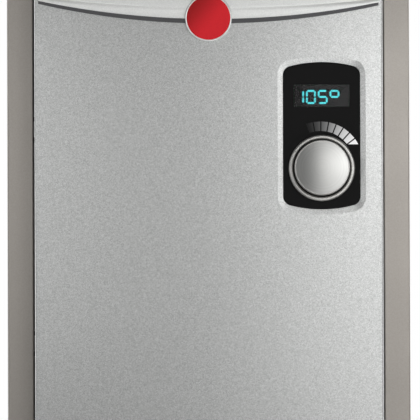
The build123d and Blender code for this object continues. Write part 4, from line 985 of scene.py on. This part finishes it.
class Header(SubAssembly):
    """Header plate, dark arched strip and badge."""

    title = "header"

    def finishes(self) -> dict[Finish, str]:
        """Finish of each piece at the cover's top."""
        return {
            HEADER_COAT: "header_plate",
            DARK_ABS: "accent_strip",
            SATIN_PLATE: "badge_rim",
            RedEnamel("red badge enamel with painted shade", centre=middle("badge_disc")): "badge_disc",
        }


@dataclass
class ControlPanel(SubAssembly):
    """Fascia, display, scale and what stands behind them.

    Attributes:
        scale_left: How far left of the knob's axis the scale's middle lies.
        scale_rise: How far above the knob's axis the scale's middle lies.
    """

    scale_left: float = 1.0 * MM
    scale_rise: float = 3.5 * MM

    title = "control panel"

    def finishes(self) -> dict[Finish, str]:
        """Finish of each piece of the panel.

        Returns:
            Each finish, with the names of the CAD nodes that wear it.
        """
        axis = Vector(middle("knob_ring"))
        scale_middle = tuple(axis + Vector((-self.scale_left, 0.0, self.scale_rise)))
        return {
            PANEL_ABS: "control_fascia",
            ScaleLights("white light pipe", centre=scale_middle): "scale_segments",
            WINDOW_ACRYLIC: "display_window",
            CYAN_GLOW: "display_digits",
            HOUSING_ABS: "display_module",
            GREEN_BOARD: "display_board",
            PLATED_STEEL: "display_fixings encoder_body",
            WHITE_NYLON: "display_socket harness_plug",
            BLACK_JACKET: "display_harness",
        }


class TemperatureKnob(SubAssembly):
    """Fixed ring, knob, face disc, shaft and push plunger."""

    title = "temperature knob"

    def finishes(self) -> dict[Finish, str]:
        """Finish of each piece round the knob's axis."""
        return {
            SILVER_ABS: "knob_ring temperature_knob",
            TurnedMetal("satin turned cap", centre=middle("knob_ring")): "knob_cap",
            PLATED_STEEL: "encoder_shaft",
            WHITE_NYLON: "push_switch_slider",
        }


class WaterCircuit(SubAssembly):
    """Vessels, pipes, fittings, flow sensor and what holds them."""

    title = "water circuit"

    def finishes(self) -> dict[Finish, str]:
        """Finish of each wet piece and its holders."""
        return {
            DRAWN_COPPER: "heating_chamber_left heating_chamber_right crossover_pipe inlet_pipe "
                          "outlet_pipe",
            TURNED_BRASS: "water_inlet_union water_outlet_union union_locknuts",
            SEAL_RUBBER: "seal_rings",
            SADDLE_NYLON: "chamber_saddles",
            PLATED_STEEL: "chamber_straps chassis_fasteners pipe_thermistors",
            BLACK_THERMOSET: "flow_sensor_body flow_sensor_pickup",
            SHEATH_STEEL: "flow_rotor_pin",
            WHITE_NYLON: "flow_rotor",
        }

    def pieces(self) -> list[Piece]:
        """Both unions, with a cut pipe thread and a chamfered six-sided collar."""
        union = ThreadedUnion()
        return [
            union.build("threaded_inlet_union", "water_inlet_union"),
            union.build("threaded_outlet_union", "water_outlet_union"),
        ]


@dataclass
class ThreadedUnion:
    """Brass union that takes a pipe above and shows a pipe thread below the case.

    Attributes:
        bore: Radius of the water way.
        socket_bore: Radius of the socket that takes the pipe.
        socket: Outer radius of that socket.
        socket_height: Height of the socket above the collar.
        socket_depth: How deep the pipe goes in.
        socket_edge: Chamfer at the socket's mouth.
        collar_across: Width of the six-sided collar across its flats.
        collar_height: Height of the collar.
        collar_edge: Rounding of its corners.
        neck: Radius of the neck that passes the bottom plate.
        root: Radius at the thread's roots.
        lead_in: Chamfer at both ends of the thread.
        pitch: Pitch of the thread, 14 turns to the inch.
        length: Length of the threaded end.
        turns: Turns of the thread's ridge.
        ridge: Its corners, as radius and as height in pitches.
    """

    bore: float = 9.4 * MM
    socket_bore: float = 11.2 * MM
    socket: float = 13.1 * MM
    socket_height: float = 14.0 * MM
    socket_depth: float = 6.0 * MM
    socket_edge: float = 0.4 * MM
    collar_across: float = 34.0 * MM
    collar_height: float = 7.0 * MM
    collar_edge: float = 0.7 * MM
    neck: float = 14.5 * MM
    root: float = 12.1 * MM
    lead_in: float = 0.8 * MM
    pitch: float = 25.4 / 14 * MM
    length: float = 18.0 * MM
    turns: int = 8
    ridge: tuple[tuple[float, float], ...] = (
        (12.0 * MM, -0.46), (13.33 * MM, -0.07), (13.33 * MM, 0.07), (12.0 * MM, 0.46),
    )

    def build(self, name: str, node: str) -> Piece:
        """Builds one union in the place of its CAD node.

        Args:
            name: Name of the piece.
            node: The CAD node that it stands for.

        Returns:
            The union.
        """
        low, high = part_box(node)
        foot = Vector(((low.x + high.x) / 2, (low.y + high.y) / 2, low.z))
        top = high.z - low.z
        collar_low = top - self.socket_height - self.collar_height
        mesh = bmesh.new()
        turned(mesh, [
            (self.bore, 0.0), (self.root - self.lead_in, 0.0), (self.root, self.lead_in),
            (self.root, self.length), (self.neck, self.length + self.lead_in),
            (self.neck, collar_low), (self.socket, collar_low),
            (self.socket, top - self.socket_edge), (self.socket - self.socket_edge, top),
            (self.socket_bore, top), (self.socket_bore, top - self.socket_depth),
            (self.bore, top - self.socket_depth),
        ], foot, 64)
        self.collar(mesh, foot + UP * collar_low, high.x - low.x < high.y - low.y)
        self.thread(mesh, foot)
        return settle(name, mesh, TURNED_BRASS, "chassis", "brass", node)

    def collar(self, mesh: Mesh, foot: Vector, flats_along_x: bool) -> None:
        """Adds the six-sided collar with its corners rounded.

        Args:
            mesh: The mesh that gets the collar.
            foot: Middle of its lower face.
            flats_along_x: Whether two of its flats face along X.
        """
        slant = math.cos(math.pi / 6)
        corner = self.collar_across / 2 / slant
        inner = self.bore / slant + self.socket_edge
        ring = bmesh.new()
        turned(ring, [
            (inner, 0.0), (corner, 0.0), (corner, self.collar_height), (inner, self.collar_height),
        ], foot, 6)
        first = max((v.co - foot for v in ring.verts), key=lambda away: away.xy.length)
        wanted = math.pi / 6 if flats_along_x else 0.0
        turn = Matrix.Rotation(wanted - math.atan2(first.y, first.x), 3, "Z")
        bmesh.ops.rotate(ring, verts=ring.verts, cent=foot, matrix=turn)
        bmesh.ops.recalc_face_normals(ring, faces=ring.faces)
        limit = (inner + corner) / 2
        outer = [e for e in ring.edges if all((v.co - foot).xy.length > limit for v in e.verts)]
        round_edges(ring, outer, self.collar_edge, 2)
        data = bpy.data.meshes.new("collar")
        ring.to_mesh(data)
        ring.free()
        mesh.from_mesh(data)
        bpy.data.meshes.remove(data)

    def thread(self, mesh: Mesh, foot: Vector) -> None:
        """Adds the thread's ridge, swept along its helix.

        Args:
            mesh: The mesh that gets the ridge.
            foot: Middle of the union's lower face.
        """
        steps = 40
        start = 1.0 * MM - self.ridge[0][1] * self.pitch
        corners = [
            mesh.verts.new(foot + Vector((radius, 0.0, start + height * self.pitch)))
            for radius, height in self.ridge
        ]
        edges = [mesh.edges.new((corners[i - 1], corners[i])) for i in range(4)]
        made = bmesh.ops.spin(
            mesh, geom=corners + edges, cent=foot, axis=UP, angle=math.tau * self.turns,
            dvec=UP * self.pitch / steps, steps=steps * self.turns,
        )
        for end in (corners, verts_in(made["geom_last"])):
            bmesh.ops.contextual_create(mesh, geom=end)


class HeatAndPower(SubAssembly):
    """Elements, cut-outs, switches, boards, terminals and leads."""

    title = "heat and power"

    def finishes(self) -> dict[Finish, str]:
        """Finish of each electric piece."""
        return {
            SHEATH_STEEL: "heating_element_left heating_element_right",
            STEATITE: "element_insulators",
            BLACK_THERMOSET: "limit_switches triacs board_components terminal_block",
            BUTTON_RED: "reset_button_left reset_button_right",
            EXTRUDED_ALUMINIUM: "triac_plate earth_lug",
            GREEN_BOARD: "control_board",
            WHITE_NYLON: "board_headers",
            PLATED_STEEL: "terminal_screws",
            RED_JACKET: "power_leads",
            BLACK_JACKET: "signal_leads",
        }

    def pieces(self) -> list[Piece]:
        """What stands on the main board."""
        groups = (Relays(), Capacitors(), Transformer(), Processor())
        return [piece for group in groups for piece in group.pieces()]


@dataclass
class BoardPart:
    """A part that stands on the main board, in the place of the CAD's plain block.

    Attributes:
        from_left: How far it lies from the board's left edge.
        from_top: How far it lies below the board's top.
        size: Its width, depth and height.
        pitch: Distance from one to the next.
        count: How many there are.
    """

    from_left: float = 0.0
    from_top: float = 0.0
    size: tuple[float, float, float] = (0.0, 0.0, 0.0)
    pitch: float = 0.0
    count: int = 1

    def corners(self) -> list[Vector]:
        """Finds where each one's upper left corner meets the board's front face.

        Returns:
            One place for each.
        """
        low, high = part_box("control_board")
        first = Vector((low.x + self.from_left, low.y, high.z - self.from_top))
        return [first + Vector((index * self.pitch, 0.0, 0.0)) for index in range(self.count)]

    def blocks(self) -> list[tuple[Vector, Vector]]:
        """Finds the block that each one fills.

        Returns:
            The lowest and the highest corner of each block.
        """
        width, depth, height = self.size
        reach = (Vector((0.0, -depth, -height)), Vector((width, 0.0, 0.0)))
        return [(corner + reach[0], corner + reach[1]) for corner in self.corners()]

    def piece(self, name: str, mesh: Mesh, finish: Finish, slot: str) -> Piece:
        """Turns a mesh into a piece that stands for the CAD's block."""
        return settle(name, mesh, finish, "chassis", slot, "board_components")


@dataclass
class Relays(BoardPart):
    """Row of relays: rounded cases with a shallow panel on the front.

    Attributes:
        edge: Radius of the cases' edges.
        insets: Width and depth of the border round the panel, and of the slope down to it.
    """

    from_left: float = 16 * MM
    from_top: float = 14 * MM
    size: tuple[float, float, float] = (17 * MM, 17 * MM, 21 * MM)
    pitch: float = 23 * MM
    count: int = 4
    edge: float = 0.9 * MM
    insets: tuple[tuple[float, float], ...] = ((1.4 * MM, 0.0), (0.3 * MM, -0.4 * MM))

    def pieces(self) -> list[Piece]:
        """Builds all the relays.

        Returns:
            One piece with all of them.
        """
        mesh = bmesh.new()
        for low, high in self.blocks():
            rounded_block(mesh, low, high, self.edge)
        mesh.normal_update()
        half_a_front = 0.5 * self.size[0] * self.size[2]
        fronts = [f for f in mesh.faces if f.normal.y < -0.99 and f.calc_area() > half_a_front]
        for width, depth in self.insets:
            bmesh.ops.inset_individual(mesh, faces=fronts, thickness=width, depth=depth)
        return [self.piece("board_relays", mesh, RELAY_CASE, "component_black")]


@dataclass
class Capacitors(BoardPart):
    """Row of capacitor cans in shrunk sleeves, under lids with a cross that lets go under pressure.

    Attributes:
        sleeve_mm: Corners of a sleeve, with its groove and its rolled rim, in millimetres: radius
            and height off the board.
        lid_mm: Corners of a lid, in the same way.
        cross_mm: Half the length and half the width of the cross, and the heights it spans.
    """

    from_left: float = 22 * MM
    from_top: float = 56 * MM
    pitch: float = 16 * MM
    count: int = 3
    sleeve_mm: tuple[tuple[float, float], ...] = (
        (3.0, 0.0), (4.7, 0.0), (5.0, 0.5), (5.0, 1.6), (4.5, 2.3), (5.0, 3.0), (5.0, 19.1),
        (4.8, 19.7), (4.3, 20.0), (3.9, 19.8), (3.8, 19.2), (3.0, 19.2),
    )
    lid_mm: tuple[tuple[float, float], ...] = (
        (0.0, 19.35), (4.0, 19.35), (4.0, 18.75), (0.0, 18.75),
    )
    cross_mm: tuple[float, float, float, float] = (3.0, 0.22, 19.65, 19.25)

    def pieces(self) -> list[Piece]:
        """Builds the sleeves and the lids.

        Returns:
            One piece with the sleeves, and one with the lids.
        """
        sleeves, lids = bmesh.new(), bmesh.new()
        arm, half, top, bottom = (length * MM for length in self.cross_mm)
        for foot in self.corners():
            for mesh, outline in ((sleeves, self.sleeve_mm), (lids, self.lid_mm)):
                turned(mesh, [(r * MM, h * MM) for r, h in outline], foot, 40, TO_FRONT)
            for reach in (Vector((arm, 0.0, half)), Vector((half, 0.0, arm))):
                rounded_block(
                    lids, foot + TO_FRONT * top - reach, foot + TO_FRONT * bottom + reach,
                    0.1 * MM, 2,
                )
        return [
            self.piece("capacitor_sleeves", sleeves, CAPACITOR_SLEEVE, "component_black"),
            self.piece("capacitor_lids", lids, EXTRUDED_ALUMINIUM, "aluminium"),
        ]


@dataclass
class Transformer(BoardPart):
    """Small transformer: stacked core plates round a taped winding on a flanged former.

    Attributes:
        plates: Number of core plates that show.
        plate_edge: Radius of a plate's edges.
        step: How far every second plate is drawn in.
        core_inset: How far the core stays inside the sides, the front and back, and the ends.
        winding_inset: How far the winding stays inside them.
        winding_edge: Radius of the winding's edges.
        flange_inset: How far the flanges stay inside the sides and the front.
        flange_edge: Radius of their edges.
    """

    from_left: float = 74 * MM
    from_top: float = 48 * MM
    size: tuple[float, float, float] = (34 * MM, 25 * MM, 30 * MM)
    plates: int = 14
    plate_edge: float = 0.15 * MM
    step: float = 0.25 * MM
    core_inset: tuple[float, float, float] = (0.0, 1.5 * MM, 4.0 * MM)
    winding_inset: tuple[float, float, float] = (7.0 * MM, 0.0, 1.2 * MM)
    winding_edge: float = 3.0 * MM
    flange_inset: tuple[float, float, float] = (5.0 * MM, 1.0 * MM, 0.0)
    flange_edge: float = 0.4 * MM

    def pieces(self) -> list[Piece]:
        """Builds the core, seen as fine steps from the side, and the winding with its former.

        Returns:
            The core, and the winding.
        """
        low, high = self.blocks()[0]
        core, winding = bmesh.new(), bmesh.new()
        first, last = low + Vector(self.core_inset), high - Vector(self.core_inset)
        plate = (last.y - first.y) / self.plates
        for index in range(self.plates):
            side = Vector((self.step, 0.0, self.step)) * (index % 2)
            front = first + side + Vector((0.0, index * plate, 0.0))
            back = Vector((last.x, first.y + (index + 1) * plate, last.z)) - side
            rounded_block(core, front, back, self.plate_edge, 1)
        inset = Vector(self.winding_inset)
        rounded_block(winding, low + inset, high - inset, self.winding_edge)
        side, front, _ = self.flange_inset
        for z in (low.z, high.z - inset.z):
            rounded_block(
                winding, Vector((low.x + side, low.y + front, z)),
                Vector((high.x - side, high.y, z + inset.z)), self.flange_edge, 2,
            )
        return [
            self.piece("transformer_core", core, PLATED_STEEL, "steel"),
            self.piece("transformer_winding", winding, WINDING_TAPE, "component_black"),
        ]


@dataclass
class Processor(BoardPart):
    """Square processor with tinned legs on all four sides.

    Attributes:
        inset: How far the body stays inside the legs' ends.
        stand_off: How far it stands off the board.
        edge: Radius of its edges.
        dot_inset: How far the dot at the first leg lies from both sides.
        dot: Corners of the dot, as radius and height.
        legs: Legs on each side.
        leg_span: Distance between the first and the last of them.
        leg_size: Width, height and length of a leg.
        leg_rise: How far a leg's middle stays below the body's top.
    """

    from_left: float = 60 * MM
    from_top: float = 112 * MM
    size: tuple[float, float, float] = (14 * MM, 1.6 * MM, 14 * MM)
    inset: float = 1.3 * MM
    stand_off: float = 0.2 * MM
    edge: float = 0.3 * MM
    dot_inset: float = 2.8 * MM
    dot: tuple[tuple[float, float], ...] = (
        (0.0, 0.0), (0.5 * MM, 0.0), (0.45 * MM, 0.05 * MM), (0.0, 0.05 * MM),
    )
    legs: int = 12
    leg_span: float = 9.0 * MM
    leg_size: tuple[float, float, float] = (0.3 * MM, 0.5 * MM, 1.5 * MM)
    leg_rise: float = 0.35 * MM

    def pieces(self) -> list[Piece]:
        """Builds the moulded body, with a dot at its first leg, and the legs.

        Returns:
            The body, and one piece with all the legs.
        """
        low, high = self.blocks()[0]
        inset = Vector((self.inset, 0.0, self.inset))
        body, legs = bmesh.new(), bmesh.new()
        rounded_block(body, low + inset, high - inset + TO_FRONT * self.stand_off, self.edge, 2)
        spot = Vector((low.x + self.dot_inset, low.y, high.z - self.dot_inset))
        turned(body, list(self.dot), spot, 20, TO_FRONT)
        for quarter in range(4):
            turn = Matrix.Rotation(quarter * math.pi / 2, 3, "Y")
            for index in range(self.legs):
                self.leg(legs, index / (self.legs - 1) - 0.5, turn, (low + high) / 2)
        return [
            self.piece("board_processor", body, BLACK_THERMOSET, "component_black"),
            self.piece("processor_legs", legs, BRIGHT_PLATE, "bright_metal"),
        ]

    def leg(self, mesh: Mesh, along: float, turn: Matrix, centre: Vector) -> None:
        """Adds one leg.

        Args:
            mesh: The mesh that gets the leg.
            along: Where it lies on its side, from minus a half to a half.
            turn: Turn of its side.
            centre: Middle of the processor.
        """
        width, height, _ = self.size
        made = bmesh.ops.create_cube(mesh, size=1.0)["verts"]
        bmesh.ops.scale(mesh, verts=made, vec=self.leg_size)
        bmesh.ops.translate(mesh, verts=made, vec=(
            along * self.leg_span, height / 2 - self.leg_rise, (width - self.leg_size[2]) / 2,
        ))
        bmesh.ops.rotate(mesh, verts=made, cent=(0, 0, 0), matrix=turn)
        bmesh.ops.translate(mesh, verts=made, vec=centre)


# Studio
@dataclass
class SoftBox:
    """A soft rectangular studio lamp.

    Attributes:
        name: Name of the lamp.
        place: Where it stands.
        target: What it is aimed at.
        width: Width of its face.
        height: Height of its face.
        power: Its power in watts.
    """

    name: str
    place: tuple[float, float, float]
    target: tuple[float, float, float]
    width: float
    height: float
    power: float

    def build(self) -> None:
        """Makes the lamp; its face doesn't show in the picture."""
        data = bpy.data.lights.new(self.name, "AREA")
        data.shape = "RECTANGLE"
        data.size = self.width
        data.size_y = self.height
        data.energy = self.power
        lamp = bpy.data.objects.new(self.name, data)
        lamp.location = self.place
        towards = Vector(self.target) - Vector(self.place)
        lamp.rotation_mode = "QUATERNION"
        lamp.rotation_quaternion = towards.to_track_quat("-Z", "Y")
        lamp.visible_camera = False
        bpy.context.scene.collection.objects.link(lamp)


@dataclass
class Studio:
    """Floor, lamps and the light from all round.

    Attributes:
        floor_level: Height of the floor under the hung unit.
        floor_radius: Radius of the round floor.
        ambient: Brightness of the light from all round.
        front_lamps: The soft lamps that light the front.
        wing_lamps: Large soft lamps far to the sides and below, for whoever walks round the unit.
        rear_lamps: The soft lamps behind the front's plane, which light the sides, top and back.
    """

    floor_level: float = -1.2
    floor_radius: float = 0.9
    ambient: float = 0.12
    front_lamps: list[SoftBox] = field(default_factory=lambda: [
        SoftBox("key lamp", (0.3, -1.1, 0.05), (0.0, -0.09, 0.05), 0.4, 0.5, 1.05),
        SoftBox("wide right lamp", (0.5, -1.1, 0.05), (0.0, -0.09, 0.05), 0.4, 0.5, 0.47),
        SoftBox("near right lamp", (0.35, -0.6, 0.15), (0.105, -0.09, 0.075), 0.22, 0.22, 0.18),
        SoftBox("inner right lamp", (0.2, -0.6, 0.15), (0.06, -0.09, 0.075), 0.22, 0.22, 0.185),
        SoftBox("low right lamp", (0.2, -0.6, -0.1), (0.06, -0.09, -0.05), 0.22, 0.22, 0.1),
        SoftBox("near left lamp", (-0.35, -0.6, 0.15), (-0.105, -0.09, 0.075), 0.22, 0.22, 0.165),
        SoftBox("inner left lamp", (-0.2, -0.6, 0.06), (-0.06, -0.09, 0.03), 0.22, 0.4, 0.215),
        SoftBox("wide left lamp", (-0.42, -1.1, 0.08), (0.1, -0.09, 0.08), 0.25, 0.4, 0.185),
        SoftBox("high lamp", (0.1, -1.6, 0.85), (0.1, -0.09, 0.08), 0.5, 0.3, 1.4),
        SoftBox("low lamp", (0.1, -1.6, -0.7), (0.1, -0.09, 0.08), 0.5, 0.3, 1.67),
    ])
    wing_lamps: list[SoftBox] = field(default_factory=lambda: [
        SoftBox("left wing lamp", (-1.7, -1.15, -0.45), (0.0, 0.0, 0.0), 2.0, 2.5, 8.0),
        SoftBox("right wing lamp", (1.7, -1.15, -0.45), (0.0, 0.0, 0.0), 2.0, 2.5, 8.0),
        SoftBox("under lamp", (0.0, -1.7, -1.7), (0.0, 0.0, 0.0), 2.2, 0.9, 2.5),
    ])
    rear_lamps: list[SoftBox] = field(default_factory=lambda: [
        SoftBox("left side lamp", (-1.3, 0.5, 0.2), (-0.18, 0.0, 0.0), 0.8, 0.9, 7.5),
        SoftBox("right side lamp", (1.3, 0.5, 0.2), (0.18, 0.0, 0.0), 0.8, 0.9, 7.5),
        SoftBox("back lamp", (0.3, 1.6, 0.4), (0.0, 0.0, 0.0), 1.0, 1.0, 10.0),
        SoftBox("top lamp", (0.0, 0.5, 1.5), (0.0, 0.0, 0.2), 1.0, 0.6, 12.0),
    ])

    def build(self) -> None:
        """Builds the whole studio."""
        self.floor()
        for lamp in self.front_lamps + self.wing_lamps + self.rear_lamps:
            lamp.build()
        self.surround()

    def floor(self) -> None:
        """Builds the round pale floor under the unit."""
        mesh = bmesh.new()
        bmesh.ops.create_circle(
            mesh, cap_ends=True, segments=96, radius=self.floor_radius,
            matrix=Matrix.Translation((0, 0, self.floor_level)),
        )
        stand = placed("floor", mesh, StudioPaper("pale floor paper"))

    def surround(self) -> None:
        """Lights the scene evenly from all round, in front of a plain white background."""
        world = bpy.data.worlds.new("studio surround")
        world.use_nodes = True
        tree = world.node_tree
        tree.nodes.clear()
        white = linear("#FFFFFF")
        light = put(tree, "Background", {"Color": white, "Strength": self.ambient})
        paper = put(tree, "Background", {"Color": white, "Strength": 1.0})
        seen = put(tree, "LightPath").outputs["Is Camera Ray"]
        put(tree, "OutputWorld", {"Surface": put(tree, "MixShader", {0: seen, 1: light, 2: paper})})
        bpy.context.scene.world = world


@dataclass
class PhotoCamera:
    """The long-lens camera of the photograph.

    Attributes:
        place: Where the camera stands.
        pan: Turn to the right, in degrees.
        tilt: Turn upwards, in degrees.
        roll: Lean to the right, in degrees.
        lens: Focal length in millimetres.
        sensor: Width of the sensor in millimetres.
        sight: How far it sees, in metres.
    """

    place: tuple[float, float, float] = (-0.07776, -7.13852, -0.17343)
    pan: float = 0.639
    tilt: float = 1.562
    roll: float = -0.2
    lens: float = 685.93
    sensor: float = 36.0
    sight: float = 100.0

    def build(self) -> None:
        """Makes the camera and sets it as the scene's."""
        pan, tilt, roll = (math.radians(angle) for angle in (self.pan, self.tilt, self.roll))
        forward = Vector((
            math.sin(pan) * math.cos(tilt), math.cos(pan) * math.cos(tilt), math.sin(tilt),
        ))
        level = Vector((math.cos(pan), -math.sin(pan), 0.0))
        right = level * math.cos(roll) + level.cross(forward) * math.sin(roll)
        turn = Matrix((right, right.cross(forward), -forward)).transposed()
        data = bpy.data.cameras.new("photo camera")
        data.lens = self.lens
        data.sensor_width = self.sensor
        data.clip_end = self.sight
        camera = bpy.data.objects.new("photo camera", data)
        camera.matrix_world = Matrix.Translation(self.place) @ turn.to_4x4()
        bpy.context.scene.collection.objects.link(camera)
        bpy.context.scene.camera = camera


def main() -> None:
    logging.basicConfig(level=logging.INFO, format="%(message)s")
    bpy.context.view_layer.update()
    bpy.context.scene.view_settings.view_transform = "Standard"
    Studio().build()
    PhotoCamera().build()
    for group in (Case, Header, ControlPanel, TemperatureKnob, WaterCircuit, HeatAndPower):
        group().build()


if __name__ == "__main__":
    main()
